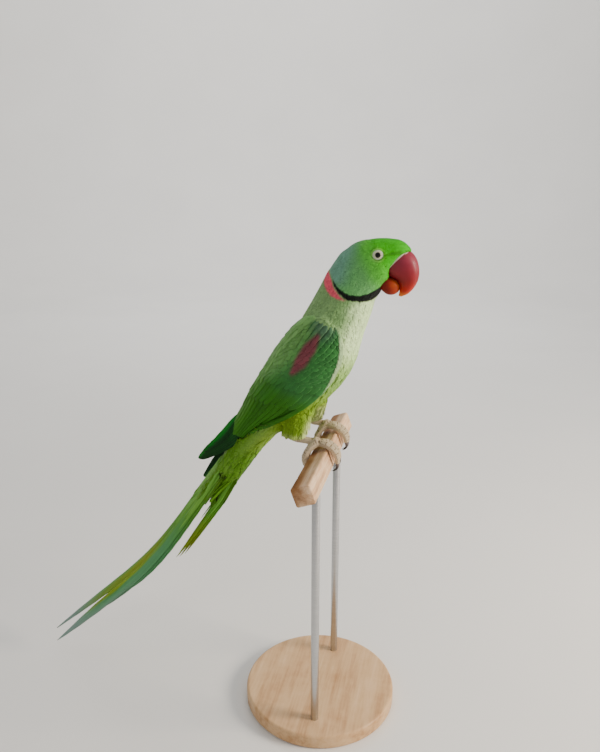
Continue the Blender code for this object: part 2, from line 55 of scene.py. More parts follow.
# ---- measures

# Middle of the body from the tail coverts to the brow (x, z): the unwrap is laid along it
SPINE = np.array([
    (-88, 220), (-69, 248), (-49, 272), (-29, 295.5), (-12, 322), (1.5, 348), (11, 368.5),
    (18.3, 384.7), (23.4, 395.7), (31, 405.5), (41, 413.5), (52, 419.5), (63, 422.4),
], float)

# The lie of the plumage: at a place (x, z), the way the feathers point (x, z)
LIE = [
    ((58, 428), (-1.0, 0.25)), ((45, 432), (-1.0, 0.05)), ((30, 429), (-1.0, -0.45)),
    ((16, 420), (-0.8, -0.8)), ((8, 405), (-0.45, -1.0)), ((45, 410), (-1.0, -0.35)),
    ((30, 405), (-0.8, -0.7)), ((48, 396), (-0.55, -0.85)), ((40, 386), (-0.25, -1.0)),
    ((25, 388), (-0.45, -1.0)), ((0, 390), (-0.5, -0.95)), ((40, 370), (-0.1, -1.0)),
    ((20, 370), (-0.3, -1.0)), ((-8, 372), (-0.6, -0.8)), ((33, 345), (-0.2, -1.0)),
    ((25, 322), (-0.45, -0.95)), ((-20, 350), (-0.6, -0.8)), ((-40, 320), (-0.6, -0.85)),
    ((8, 303), (-0.6, -0.8)), ((-5, 288), (-0.75, -0.7)), ((-16, 285), (-0.1, -1.0)),
    ((-18, 272), (0.0, -1.0)), ((-38, 264), (-0.75, -0.7)), ((-70, 285), (-0.5, -0.9)),
    ((-55, 250), (-0.65, -0.75)), ((-85, 250), (-0.55, -0.85)), ((-88, 222), (-0.6, -0.8)),
]
LIE_REACH = 9.0  # how far one of those places is felt
SHOULDER_TOP = (8.0, 369.0)  # x and z of the folded wing's narrow top

# Folded wing: front edge, back edge, outward bow and thickness, from the shoulder to the rear
WING_STATIONS = [
    (11.5, 27.5, 370.0, 4.5, 25.0, 373.5, 0.5, 1.6),
    (18.0, 29.5, 362.5, -8.0, 21.0, 372.5, 2.8, 4.4),
    (20.6, 30.8, 352.0, -20.0, 14.0, 364.5, 7.5, 5.4),
    (20.3, 31.2, 341.5, -31.0, 8.0, 352.5, 11.5, 5.8),
    (17.2, 31.4, 331.0, -40.5, 4.8, 340.0, 14.0, 6.0),
    (11.0, 31.2, 318.5, -50.0, 3.8, 324.5, 15.0, 6.0),
    (2.0, 30.4, 307.0, -58.4, 3.5, 311.0, 14.0, 5.8),
    (-10.0, 29.0, 296.5, -64.8, 3.5, 299.5, 12.0, 5.4),
    (-22.5, 27.0, 287.0, -70.0, 3.6, 289.5, 9.5, 4.8),
    (-36.0, 24.2, 278.5, -75.0, 3.8, 280.5, 7.0, 4.0),
    (-50.0, 20.4, 270.0, -79.5, 4.4, 272.0, 4.5, 3.2),
    (-63.0, 16.4, 261.5, -82.5, 6.4, 263.5, 2.2, 2.0),
]
PRIMARY_STATIONS = [
    (-56.0, 17.0, 268.0, -76.0, 5.0, 283.0, 2.5, 2.2),
    (-65.0, 14.6, 259.5, -83.0, 4.2, 275.5, 2.2, 2.4),
    (-76.0, 12.4, 250.5, -90.5, 3.8, 266.5, 1.8, 2.3),
    (-87.0, 10.2, 242.5, -99.0, 3.4, 258.5, 1.4, 2.1),
    (-98.0, 8.4, 236.8, -107.0, 3.2, 251.0, 1.0, 1.8),
    (-107.0, 6.6, 233.6, -111.6, 3.2, 243.5, 0.6, 1.4),
    (-112.8, 5.2, 233.8, -114.0, 4.2, 236.8, 0.2, 0.9),
]
# The right wing tip lies over the rump, and the left one hangs lower, beside the tail
PRIMARY_DROOP = {"right": 0.0, "left": radians(25)}
PRIMARY_SLIP = {"right": 0.0, "left": 0.13}

# Tail: six pairs of feathers, laid in an arched fan that is rolled to the right
TAIL_ROOT, TAIL_LENGTH = (-97.2, 226.2), 285.0
TAIL_SLOPE_START, TAIL_SLOPE_END = radians(55), radians(42.5)
TAIL_EASE = (0.22, 0.68)
TAIL_ROLL_START, TAIL_ROLL_END = radians(22), radians(42)
TAIL_ARCH = radians(2.0)
PAIR_LENGTHS = (1.0, 0.72, 0.57, 0.365, 0.355, 0.335)
PAIR_WIDTHS = (13.5, 13.0, 12.5, 12.0, 11.5, 11.0)
PAIR_SHIFTS = (0.3, 1.8, 2.8, 0.6, 0.6, 0.6)
PAIR_DROPS = {"right": (0.0, 0.0, 0.0, 13.0, 13.8, 14.6), "left": (0.0, 0.0, 0.0, 1.5, 2.0, 2.5)}
PAIR_SPLAYS = (0.0, 0.6, 1.4, 1.0, 1.6, 2.2)
LAYER_STEP = 1.2

# Bill: ridge point, edge point and half width
UPPER_BILL = [
    (61.0, 424.5, 47.5, 405.5, 8.6), (66.5, 424.0, 50.4, 404.0, 9.6),
    (70.9, 421.3, 53.0, 402.6, 9.7), (74.3, 416.4, 55.6, 401.4, 9.2),
    (76.1, 410.0, 58.4, 400.0, 8.2), (76.3, 404.0, 60.6, 397.8, 6.9),
    (75.0, 398.8, 61.7, 395.2, 5.4), (72.2, 393.9, 61.7, 392.4, 3.9),
    (68.2, 389.7, 61.4, 390.2, 2.3), (63.2, 387.4, 61.0, 388.2, 0.8),
]
LOWER_BILL = [
    (44.5, 395.5, 46.5, 405.0, 7.0), (48.4, 391.6, 50.6, 404.4, 8.3),
    (52.0, 389.2, 54.2, 403.1, 8.1), (55.6, 388.7, 57.3, 401.6, 7.2),
    (58.8, 389.7, 60.0, 399.4, 5.6), (61.0, 391.6, 61.6, 396.9, 3.2),
    (61.9, 393.1, 62.0, 394.9, 1.0),
]

# Toes round the perch: angle of the root and of the end, in degrees, and sideways reach
GRIP_RADIUS, LEG_OUT = 13.3, 23.0
TOES = {
    "inner_front": (117.0, 4.0, -4.4), "outer_front": (113.0, -5.0, 2.6),
    "inner_back": (97.0, 184.0, -5.0), "outer_back": (101.0, 194.0, 6.5),
}
CLAW_LENGTH, CLAW_RADIUS = 9.0, 1.6
PERCH_SIDE, PERCH_TURN, PERCH_ROUNDING = 15.8, radians(-20), 1.9

# ---- small tools


def smooth(low, high, value):
    """0 below low, 1 above high, eased between. high may be the smaller."""
    share = np.clip((np.asarray(value, float) - low) / (high - low), 0, 1)
    return share * share * (3 - 2 * share)


def unit(rows):
    rows = np.asarray(rows, float)
    return rows / np.maximum(np.linalg.norm(rows, axis=-1, keepdims=True), 1e-12)


def colour(code):
    """An sRGB hex code as three shares."""
    return np.array([int(code[i:i + 2], 16) / 255 for i in (0, 2, 4)])


def linear(srgb):
    """sRGB, as a hex code or as shares, turned to the linear values that a material takes."""
    srgb = colour(srgb) if isinstance(srgb, str) else np.clip(srgb, 0, 1)
    return np.where(srgb <= 0.04045, srgb / 12.92, ((srgb + 0.055) / 1.055) ** 2.4)


def rgba(code):
    return (*linear(code), 1.0)


def mix(first, second, share):
    share = np.asarray(share)[..., None]
    return first * (1 - share) + second * share


def layers(tone, *over):
    """A colour with others laid over it in turn, each with its share."""
    for other, share in over:
        tone = mix(tone, other, share)
    return tone


def turns(count):
    """Angles at even steps round a circle."""
    return 2 * pi * np.arange(count) / count


def run_along(line):
    """How far each point of a line is along it."""
    return np.concatenate([[0], np.cumsum(np.linalg.norm(np.diff(line, axis=0), axis=1))])


def catmull_rom(rows, per_span):
    """Rows of numbers, with per_span rows for each span on one smooth curve through them."""
    rows = np.asarray(rows, float)
    padded = np.vstack([2 * rows[0] - rows[1], rows, 2 * rows[-1] - rows[-2]])
    out = []
    for i in range(len(rows) - 1):
        a, b, c, d = padded[i:i + 4]
        for t in np.arange(per_span) / per_span:
            out.append(0.5 * (2 * b + (c - a) * t + (2 * a - 5 * b + 4 * c - d) * t**2
                              + (3 * b - a - 3 * c + d) * t**3))
    out.append(rows[-1])
    return np.array(out)


def value_noise(points, size, seed):
    """Smooth noise from -1 to 1 over points in millimetres, with lumps about size across."""
    cells = np.asarray(points, float) / size
    base = np.floor(cells).astype(np.int64)
    part = cells - base
    part = part * part * (3 - 2 * part)
    total = 0.0
    for corner in np.ndindex(2, 2, 2):
        at = base + corner
        mixed = (at[..., 0] * 73856093) ^ (at[..., 1] * 19349663) ^ (at[..., 2] * 83492791)
        mixed = (mixed + seed * 2654435761) & 0xFFFFFFFF
        mixed = ((mixed ^ (mixed >> 15)) * 2246822519) & 0xFFFFFFFF
        mixed = ((mixed ^ (mixed >> 13)) * 3266489917) & 0xFFFFFFFF
        lot = (mixed ^ (mixed >> 16)) / 2**31 - 1
        weight = np.prod(np.where(corner, part, 1 - part), axis=-1)
        total = total + lot * weight
    return total


def mesh_piece(name, points, faces, made_of, replaced=()):
    """A smooth-shaded piece from points in millimetres, riding on the bird's one body."""
    mesh = bpy.data.meshes.new(name)
    mesh.from_pydata(np.asarray(points, float).reshape(-1, 3) * MM, [], faces)
    mesh.shade_smooth()
    return as_piece(name, mesh, made_of, replaced)


def placed(name, data):
    """A new object in the scene, made from a mesh, a lamp or a camera."""
    made = bpy.data.objects.new(name, data)
    bpy.context.scene.collection.objects.link(made)
    return made


def as_piece(name, mesh, made_of, replaced=()):
    """A mesh that is in metres already, as a piece."""
    piece = placed(name, mesh)
    mesh.materials.clear()
    mesh.materials.append(made_of)
    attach(piece, "root")
    if replaced:
        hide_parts(*replaced)
    return piece


def paint(mesh, name, colours):
    """Keeps linear colours, one for each point, as an attribute that materials read."""
    attribute = mesh.attributes.new(name, "FLOAT_COLOR", "POINT")
    full = np.ones((len(mesh.vertices), 4), np.float32)
    full[:, :3] = colours
    attribute.data.foreach_set("color", full.ravel())


def add_map(mesh, name, places):
    """A UV map with one place for each point."""
    corners = np.empty(len(mesh.loops), np.int32)
    mesh.loops.foreach_get("vertex_index", corners)
    layer = mesh.uv_layers.new(name=name)
    layer.uv.foreach_set("vector", np.asarray(places, np.float32)[corners].ravel())


def normals_of(mesh, kind="normal"):
    rows = np.empty(len(mesh.vertices) * 3, np.float32)
    mesh.vertices.foreach_get(kind, rows)
    return rows.reshape(-1, 3).astype(float)


def points_of(mesh):
    return normals_of(mesh, "co") / MM


class Surface:
    """Some meshes joined, in millimetres, for finding the nearest place on them."""

    def __init__(self, meshes):
        points, faces, outs = [], [], []
        for mesh in meshes:
            start, normals = len(points), normals_of(mesh)
            points += [tuple(p) for p in points_of(mesh)]
            for face in mesh.polygons:
                corners = list(face.vertices)
                faces.append([start + i for i in corners])
                outs.append(normals[corners].mean(0))
        self.tree = BVHTree.FromPolygons(points, faces)
        self.outs = unit(outs)

    def nearest(self, points):
        """The nearest places, the surface's softened normals there, and the distances."""
        found = [self.tree.find_nearest(p) for p in np.asarray(points, float).reshape(-1, 3)]
        places = np.array([f[0] for f in found])
        return places, self.outs[[f[2] for f in found]], np.array([f[3] for f in found])


def rounded_mesh(name, nodes, voxel, rounds):
    """One closed mesh round some CAD nodes, with their seams closed and edges softened."""
    built = bmesh.new()
    for node in nodes:
        built.from_mesh(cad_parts[node].data)
    rough = bpy.data.meshes.new(name)
    built.to_mesh(rough)
    built.free()
    holder = placed(name, rough)
    remesh = holder.modifiers.new("remesh", "REMESH")
    remesh.mode = "VOXEL"
    remesh.voxel_size = voxel * MM
    softened = holder.modifiers.new("soften", "SMOOTH")
    softened.factor = 0.5
    softened.iterations = rounds
    bpy.context.view_layer.update()
    graph = bpy.context.evaluated_depsgraph_get()
    mesh = bpy.data.meshes.new_from_object(holder.evaluated_get(graph))
    bpy.data.objects.remove(holder)
    mesh.name = name
    return mesh


def move_points(mesh, points):
    mesh.vertices.foreach_set("co", (np.asarray(points) * MM).astype(np.float32).ravel())
    mesh.update()


# ---- markings

EYE_HALO = colour("9ccc70")
HEAD_GREEN, CROWN_GREEN = colour("3ab800"), colour("55b438")
CHEEK, HIND_CROWN = colour("62a45e"), colour("6c9c8a")
COLLAR, STRIPE = colour("e4586a"), colour("060d08")
NECK_BACK, NECK_SIDE = colour("7b9f64"), colour("7aa262")
BREAST, BREAST_LOW = colour("cdeaac"), colour("82ac52")
MANTLE, RUMP, VENT = colour("6a9a42"), colour("4c7a04"), colour("749818")
THIGH, THIGH_EDGE = colour("6a8c16"), colour("c3d48a")
COVERTS, COVERT_STREAK = colour("508210"), colour("7aa24a")
LORE = colour("2f6a14")

# Black stripe from the chin round under the cheek to the nape: x, z, half width
STRIPE_LINE = np.array([
    (51.5, 396.0, 2.4), (48.5, 393.5, 2.6), (45.5, 391.7, 2.6), (39.9, 388.2, 3.0),
    (32.3, 387.0, 2.5), (23.6, 388.2, 2.1), (17.2, 392.2, 1.5), (12.8, 396.7, 0.9),
    (11.0, 400.5, 0.2),
])
# Rose collar behind it, widest over the nape
COLLAR_LINE = np.array([
    (5.0, 407.0, 1.0), (5.2, 403.5, 3.0), (5.8, 399.5, 4.0), (7.8, 395.3, 3.9),
    (11.2, 391.2, 3.1), (15.6, 388.0, 2.2), (19.8, 386.3, 1.0), (22.8, 385.8, 0.2),
])


def band(points, line):
    """How far points are inside a band drawn in the side view, in millimetres, below 0 outside."""
    flat = points[..., [0, 2]]
    best = np.full(flat.shape[:-1], -1e9)
    for start, end in zip(line, line[1:]):
        run = end[:2] - start[:2]
        share = np.clip((flat - start[:2]) @ run / (run @ run), 0, 1)
        away = np.linalg.norm(flat - start[:2] - share[..., None] * run, axis=-1)
        best = np.maximum(best, start[2] + (end[2] - start[2]) * share - away)
    return best


def along_spine(points):
    """Share along the spine from tail to brow, and height above it over the back."""
    flat = points[..., [0, 2]]
    lengths = np.linalg.norm(np.diff(SPINE, axis=0), axis=1)
    starts = np.concatenate([[0], np.cumsum(lengths)])
    best = np.full(flat.shape[:-1], 1e9)
    share, height = np.zeros_like(best), np.zeros_like(best)
    for i, (start, end) in enumerate(zip(SPINE, SPINE[1:])):
        run = end - start
        part = np.clip((flat - start) @ run / (run @ run), 0, 1)
        offset = flat - start - part[..., None] * run
        away = np.linalg.norm(offset, axis=-1)
        across = offset @ (np.array([-run[1], run[0]]) / lengths[i])
        nearer = away < best
        best = np.where(nearer, away, best)
        share = np.where(nearer, (starts[i] + part * lengths[i]) / starts[-1], share)
        height = np.where(nearer, across, height)
    return share, height


def body_colour(points):
    """The plumage's sRGB colour at points of the head and body, in millimetres."""
    x, y, z = points[..., 0], np.abs(points[..., 1]), points[..., 2]
    _, height = along_spine(points)
    mottle = value_noise(points, 7.0, 3)
    around = height + 2.5 * mottle  # from the back round to the breast
    front = smooth(-4, -20, around)
    trunk = layers(MANTLE, (NECK_SIDE, np.maximum(smooth(2, -14, around), smooth(9, 17, y))),
                   (BREAST, front))
    # the head is bright green in the face, greyer on the cheek and blue-grey behind the crown
    forward = (x - 40.5) * 0.88 + (z - 417) * 0.48 + 1.2 * mottle
    blue = smooth(28, 13, x - 0.25 * (z - 400)) * smooth(392, 402, z)
    head = layers(CHEEK, (CROWN_GREEN, smooth(-13, 1, forward)),
                  (HEAD_GREEN, smooth(-1, 12, forward)), (HIND_CROWN, 0.85 * blue))
    above = (z - 386) - np.interp(x, (1, 6, 11, 12.8, 17.2, 23.6, 32, 40, 45.5, 51),
                                  (26, 22, 14, 10.7, 6.2, 2.2, 1, 2, 5.7, 11))
    loral = np.array([(62.0, 422.8, 1.2), (52.0, 421.3, 0.7)])
    return layers(
        NECK_BACK,
        (NECK_SIDE, smooth(6, -6, around)),
        (BREAST, smooth(-2, -17, around)),
        (trunk, smooth(382, 360, z)),
        (BREAST_LOW, smooth(350, 316, z) * front),
        # belly, vent, thighs and rump
        (VENT, smooth(318, 290, z + 2 * mottle) * smooth(8, -14, height)),
        (THIGH, smooth(300, 284, z) * smooth(-38, -28, x) * smooth(9, 13, y)),
        (THIGH_EDGE, smooth(-12, -5, x + 0.25 * (284 - z)) * smooth(294, 280, z)),
        (THIGH_EDGE, 0.6 * smooth(275, 271.5, z) * smooth(9, 13, y) * smooth(-33, -27, x)),
        (RUMP, smooth(300, 262, z) * smooth(-6, 10, height)),
        (COVERTS, smooth(262, 236, z) * 0.9),
        (head, smooth(-1, 1.5, above)),
        (EYE_HALO, 0.55 * smooth(7.0, 4.0, off_eye(points))),
        # collar and stripe, then a thin dark line from the bill towards the eye
        (COLLAR, smooth(-0.4, 1.2, band(points, COLLAR_LINE) + 0.4 * mottle)),
        (STRIPE, smooth(-0.4, 0.5, band(points, STRIPE_LINE))),
        (LORE, 0.5 * smooth(-1.2, 0.6, band(points, loral))),
    )


WING_GREEN, WING_LIGHT = colour("347236"), colour("76a458")
WING_LOW, WING_EDGE = colour("2c6a04"), colour("b4cf9c")
PATCH, SHOULDER = colour("7a4046"), colour("54745a")
QUILL, QUILL_EDGE = colour("0a6812"), colour("06360e")
PATCH_LINE = np.array([(2.0, 358.5, 2.6), (-4.0, 348.5, 5.4), (-11.0, 337.0, 5.2),
                       (-18.0, 328.5, 1.8)])


def wing_colour(points, across):
    """sRGB colour of the wing's coverts and secondaries; across is 0 at the front edge."""
    x, z = points[..., 0], points[..., 2]
    mottle = value_noise(points, 9.0, 5)
    low = smooth(0, 1, (326 - z - 0.55 * (x + 20)) / 46 + 0.25 * mottle)
    inner = np.interp(z, (312, 338), (0.55, 0.26))  # the pale part is widest at the shoulder
    pale = smooth(0, 1, (across - inner) / 0.42)
    return layers(
        WING_GREEN,
        (WING_LOW, low),
        (WING_LIGHT, 0.75 * pale * (1 - 0.4 * low)),
        (SHOULDER, 0.85 * smooth(17, 3, np.hypot(x - 7, z - 366))),
        (PATCH, smooth(-1.8, 2.2, band(points, PATCH_LINE) + 0.9 * mottle)),
    )


# ---- materials


def new_finish(name, **settings):
    """A material with one Principled shader, a function that adds its nodes, and a function
    that feeds one of the shader's sockets."""
    made = bpy.data.materials.new(name)
    made.use_nodes = True
    tree = made.node_tree
    shader = tree.nodes["Principled BSDF"]
    for socket, value in settings.items():
        shader.inputs[socket.replace("_", " ")].default_value = value

    def put(kind, values=None):
        """Adds a node. values holds its own settings, its sockets' values, what feeds a
        socket (a node's first output, or any output), and a ramp's stops as (place, hex)."""
        node = tree.nodes.new("ShaderNode" + kind)
        for key, value in (values or {}).items():
            if isinstance(value, bpy.types.Node):
                value = value.outputs[0]
            if key == "stops":
                ramp = node.color_ramp.elements
                while len(ramp) < len(value):
                    ramp.new(0.5)
                for stop, (place, code) in zip(ramp, value):
                    stop.position, stop.color = place, rgba(code)
            elif isinstance(value, bpy.types.NodeSocket):
                tree.links.new(value, node.inputs[key])
            elif isinstance(key, str) and key[0].islower():
                setattr(node, key, value)
            else:
                node.inputs[key].default_value = value
        return node

    def feed(socket, source):
        tree.links.new(source.outputs[0], shader.inputs[socket])

    return made, put, feed


def plumage_finish(name, barb_mm, roughness, sheen, shaft_dark, barb_depth, depth_mm):
    """Feather: barbs slant away from the shaft, so light catches a fine herringbone. The colour
    is the bird's marking, laid on each vane, with a paler worn rim and a darker root."""
    made, put, feed = new_finish(name, Roughness=roughness, Sheen_Weight=sheen,
                                 Sheen_Roughness=0.45, Specular_IOR_Level=0.16)
    marking = put("Attribute", {"attribute_name": "plumage"})
    place = put("UVMap", {"uv_map": "vane_mm"})
    real = put("SeparateXYZ", {0: place})
    part = put("SeparateXYZ", {0: put("UVMap", {"uv_map": "vane"})})
    out_mm = put("Math", {"operation": "ABSOLUTE", 0: real.outputs["X"]})
    wander = put("TexNoise", {"Scale": 0.35, "Detail": 2.0, "Vector": place})
    slant = put("Math", {"operation": "MULTIPLY_ADD", 0: out_mm, 1: -1.1, 2: real.outputs["Y"]})
    slant = put("Math", {"operation": "MULTIPLY_ADD", 0: wander, 1: 1.2, 2: slant})
    cycles = put("Math", {"operation": "MULTIPLY", 0: slant, 1: 2 * pi / barb_mm})
    wave = put("Math", {"operation": "SINE", 0: cycles})
    barb = put("Math", {"operation": "MULTIPLY_ADD", 0: wave, 1: 0.5, 2: 0.5})
    middle = put("Math", {"operation": "SUBTRACT", 0: part.outputs["X"], 1: 0.5})
    edge = put("Math", {"operation": "ABSOLUTE", 0: middle})
    shaft = put("MapRange", {"interpolation_type": "SMOOTHSTEP", "From Min": 0.05,
                             "From Max": 0.015, "Value": edge})
    side_rim = put("MapRange", {"From Min": 0.36, "From Max": 0.5, "Value": edge})
    tip_rim = put("MapRange", {"From Min": 0.78, "From Max": 1.0, "Value": part.outputs["Y"]})
    rim = put("Math", {"operation": "MAXIMUM", 0: side_rim, 1: tip_rim})
    root = put("MapRange", {"From Min": 0.55, "From Max": 0.1, "Value": part.outputs["Y"]})
    shade = put("Math", {"operation": "MULTIPLY_ADD", 0: barb, 1: barb_depth,
                         2: 1 - barb_depth / 2})
    for source, strength in ((rim, 0.05), (root, -0.12), (shaft, -shaft_dark)):
        shade = put("Math", {"operation": "MULTIPLY_ADD", 0: source, 1: strength, 2: shade})
    feed("Base Color", put("VectorMath", {"operation": "SCALE", 0: marking, "Scale": shade}))
    height = put("Math", {"operation": "MULTIPLY_ADD", 0: shaft, 1: 2.0, 2: barb})
    feed("Normal", put("Bump", {"Strength": 0.55, "Distance": depth_mm * MM, "Height": height}))
    return made


def down_finish():
    """Down under the vanes: matt, soft, and broken by fine fluff."""
    made, put, feed = new_finish("feather_down", Roughness=0.9, Specular_IOR_Level=0.1)
    marking = put("Attribute", {"attribute_name": "plumage"})
    place = put("TexCoord").outputs["Object"]
    fluff = put("TexNoise", {"Scale": 1400.0, "Detail": 4.0, "Roughness": 0.7, "Vector": place})
    shade = put("Math", {"operation": "MULTIPLY_ADD", 0: fluff, 1: 0.4, 2: 0.8})
    feed("Base Color", put("VectorMath", {"operation": "SCALE", 0: marking, "Scale": shade}))
    feed("Normal", put("Bump", {"Strength": 0.6, "Distance": 0.3 * MM, "Height": fluff}))
    return made


def horn_finish(name, growth_mm, roughness, coat):
    """Polished horn: even and hard, with faint growth lines and flakes that break the shine."""
    made, put, feed = new_finish(name, Roughness=roughness, Coat_Weight=coat,
                                 Coat_Roughness=0.12, IOR=1.54, Specular_IOR_Level=0.22)
    marking = put("Attribute", {"attribute_name": "tint"})
    growth = put("UVMap", {"uv_map": "growth"})
    lines = put("TexWave", {"bands_direction": "Y", "Scale": 1 / growth_mm, "Distortion": 2.2,
                            "Detail": 3.0, "Detail Scale": 0.6, "Vector": growth})
    place = put("TexCoord").outputs["Object"]
    flakes = put("TexNoise", {"Scale": 260.0, "Detail": 5.0, "Roughness": 0.6, "Vector": place})
    shade = put("Math", {"operation": "MULTIPLY_ADD", 0: flakes, 1: 0.34, 2: 0.8})
    shade = put("Math", {"operation": "MULTIPLY_ADD", 0: lines.outputs[1], 1: 0.08, 2: shade})
    feed("Base Color", put("VectorMath", {"operation": "SCALE", 0: marking, "Scale": shade}))
    feed("Roughness", put("Math", {"operation": "MULTIPLY_ADD", 0: flakes, 1: 0.3,
                                   2: roughness - 0.12}))
    height = put("Math", {"operation": "MULTIPLY_ADD", 0: lines.outputs[1], 1: 0.5, 2: flakes})
    feed("Normal", put("Bump", {"Strength": 0.3, "Distance": 0.12 * MM, "Height": height}))
    return made


def bare_skin_finish(name, dark, light, wrinkle_mm, subsurface):
    """Bare living skin: slightly see-through, finely wrinkled, matt with an oily touch."""
    made, put, feed = new_finish(name, Roughness=0.5, Subsurface_Weight=subsurface,
                                 Subsurface_Scale=0.8 * MM)
    place = put("TexCoord").outputs["Object"]
    cells = put("TexVoronoi", {"feature": "F1", "Scale": 1000 / wrinkle_mm,
                               "Randomness": 0.9, "Vector": place})
    blotch = put("TexNoise", {"Scale": 180.0, "Detail": 4.0, "Vector": place})
    tone = put("Math", {"operation": "MULTIPLY", 0: blotch, 1: 0.7})
    tone = put("Math", {"operation": "MULTIPLY_ADD", 0: cells, 1: 0.5, 2: tone})
    feed("Base Color", put("ValToRGB", {"stops": [(0.25, light), (0.85, dark)], 0: tone}))
    feed("Normal", put("Bump", {"invert": True, "Strength": 0.5, "Distance": 0.18 * MM,
                                "Height": cells}))
    return made


def foot_skin_finish():
    """Foot skin: dry grey scales with dust in their grooves, matt, paler on the high parts."""
    made, put, feed = new_finish("scaled_foot_skin", Roughness=0.72, Specular_IOR_Level=0.35)
    place = put("TexCoord").outputs["Object"]
    cells = put("TexVoronoi", {"feature": "DISTANCE_TO_EDGE", "Scale": 900.0, "Vector": place})
    groove = put("Attribute", {"attribute_name": "groove"}).outputs["Fac"]
    blotch = put("TexNoise", {"Scale": 220.0, "Detail": 5.0, "Vector": place})
    pebble = put("MapRange", {"From Max": 0.16, "Value": cells})
    tone = put("Math", {"operation": "MULTIPLY_ADD", 0: pebble, 1: 0.35, 2: 0.65})
    worn = put("Math", {"operation": "MULTIPLY_ADD", 0: groove, 1: -0.55, 2: 1.0})
    tone = put("Math", {"operation": "MULTIPLY", 0: tone, 1: worn})
    tone = put("Math", {"operation": "MULTIPLY_ADD", 0: blotch, 1: 0.35, 2: tone})
    feed("Base Color", put("ValToRGB", {"stops": [(0.35, "5e4e40"), (0.75, "a08c6e"),
                                                  (1.0, "c4b294")], 0: tone}))
    height = put("Math", {"operation": "SUBTRACT", 0: pebble, 1: groove})
    feed("Normal", put("Bump", {"Strength": 0.7, "Distance": 0.16 * MM, "Height": height}))
    return made


def eye_finish():
    """Wet eye: black pupil, pale iris with fine spokes, under a clear glossy front."""
    made, put, feed = new_finish("wet_eye", Roughness=0.5, Specular_IOR_Level=0.1,
                                 Coat_Weight=0.4, Coat_Roughness=0.02, Coat_IOR=1.36)
    parts = put("SeparateXYZ", {0: put("UVMap", {"uv_map": "iris"})})
    around = put("Math", {"operation": "MULTIPLY", 0: parts.outputs["X"], 1: 46.0})
    out = put("Math", {"operation": "MULTIPLY", 0: parts.outputs["Y"], 1: 1.5})
    drawn_out = put("CombineXYZ", {"X": around, "Y": out})
    spokes = put("TexNoise", {"noise_dimensions": "2D", "Scale": 1.0, "Detail": 2.0,
                              "Vector": drawn_out})
    edge = put("Math", {"operation": "MULTIPLY_ADD", 0: spokes, 1: 0.12, 2: parts.outputs["Y"]})
    edge = put("Math", {"operation": "SUBTRACT", 0: edge, 1: 0.06})
    feed("Base Color", put("ValToRGB", {"stops": [
        (0.0, "050403"), (0.43, "070504"), (0.455, "55504a"), (0.51, "cfcbae"),
        (0.70, "e0dcc0"), (0.76, "a59c82"), (0.82, "3a3228")], 0: edge}))
    return made


def wood_finish(name, dark, middle, light, grain_mm, roughness, depth_mm):
    """Bare wood with its grain along Y: long fibres with pores and a few stains, and a sheen
    that follows the grain."""
    made, put, feed = new_finish(name, Roughness=roughness, Specular_IOR_Level=0.3)
    place = put("TexCoord").outputs["Object"]
    grain_place = put("Mapping", {"Scale": (1, 0.07, 1), "Vector": place})
    rings = put("TexNoise", {"Scale": 200 / grain_mm, "Detail": 6.0, "Roughness": 0.62,
                             "Distortion": 0.4, "Vector": grain_place})
    pores = put("TexNoise", {"Scale": 1000 / grain_mm, "Detail": 3.0, "Vector": grain_place})
    stain = put("TexNoise", {"Scale": 38.0, "Detail": 4.0, "Roughness": 0.6, "Vector": place})
    tone = put("Math", {"operation": "MULTIPLY", 0: rings, 1: 0.75})
    tone = put("Math", {"operation": "MULTIPLY_ADD", 0: pores, 1: 0.3, 2: tone})
    tone = put("Math", {"operation": "MULTIPLY_ADD", 0: stain, 1: 0.45, 2: tone})
    fibre = put("ValToRGB", {"stops": [(0.52, dark), (0.75, middle), (0.98, light)], 0: tone})
    # the tint attribute multiplies the colour: plain white on the stand, painted shade on the
    # perch's faces away from the key light
    painted_shade_tint = put("Attribute", {"attribute_name": "tint"})
    feed("Base Color", put("VectorMath", {"operation": "MULTIPLY", 0: fibre, 1: painted_shade_tint}))
    feed("Roughness", put("Math", {"operation": "MULTIPLY_ADD", 0: pores, 1: 0.25,
                                   2: roughness - 0.12}))
    height = put("Math", {"operation": "MULTIPLY_ADD", 0: pores, 1: 0.7, 2: rings})
    feed("Normal", put("Bump", {"Strength": 0.5, "Distance": depth_mm * MM, "Height": height}))
    return made


def steel_finish():
    """Ground steel rod: a soft highlight drawn out by the fine scratches that run round it."""
    made, put, feed = new_finish("satin_steel", Metallic=1.0, Roughness=0.32)
    place = put("TexCoord").outputs["Object"]
    fine = put("Mapping", {"Scale": (40, 40, 2600), "Vector": place})
    scratch = put("TexNoise", {"Scale": 1.0, "Detail": 3.0, "Vector": fine})
    feed("Base Color", put("ValToRGB", {"stops": [(0.2, "a8a9ab"), (0.8, "c9cacc")],
                                        0: scratch}))
    feed("Roughness", put("Math", {"operation": "MULTIPLY_ADD", 0: scratch, 1: 0.16, 2: 0.24}))
    return made


def floor_finish():
    """Matt studio floor, very slightly uneven so that it takes a soft shadow."""
    made, put, feed = new_finish("pale_floor", Roughness=0.85, Specular_IOR_Level=0.25)
    place = put("TexCoord").outputs["Object"]
    cloud = put("TexNoise", {"Scale": 3.0, "Detail": 3.0, "Vector": place})
    feed("Base Color", put("ValToRGB", {"stops": [(0.3, "e6e4e0"), (0.7, "eae8e4")], 0: cloud}))
    return made


# ---- vanes

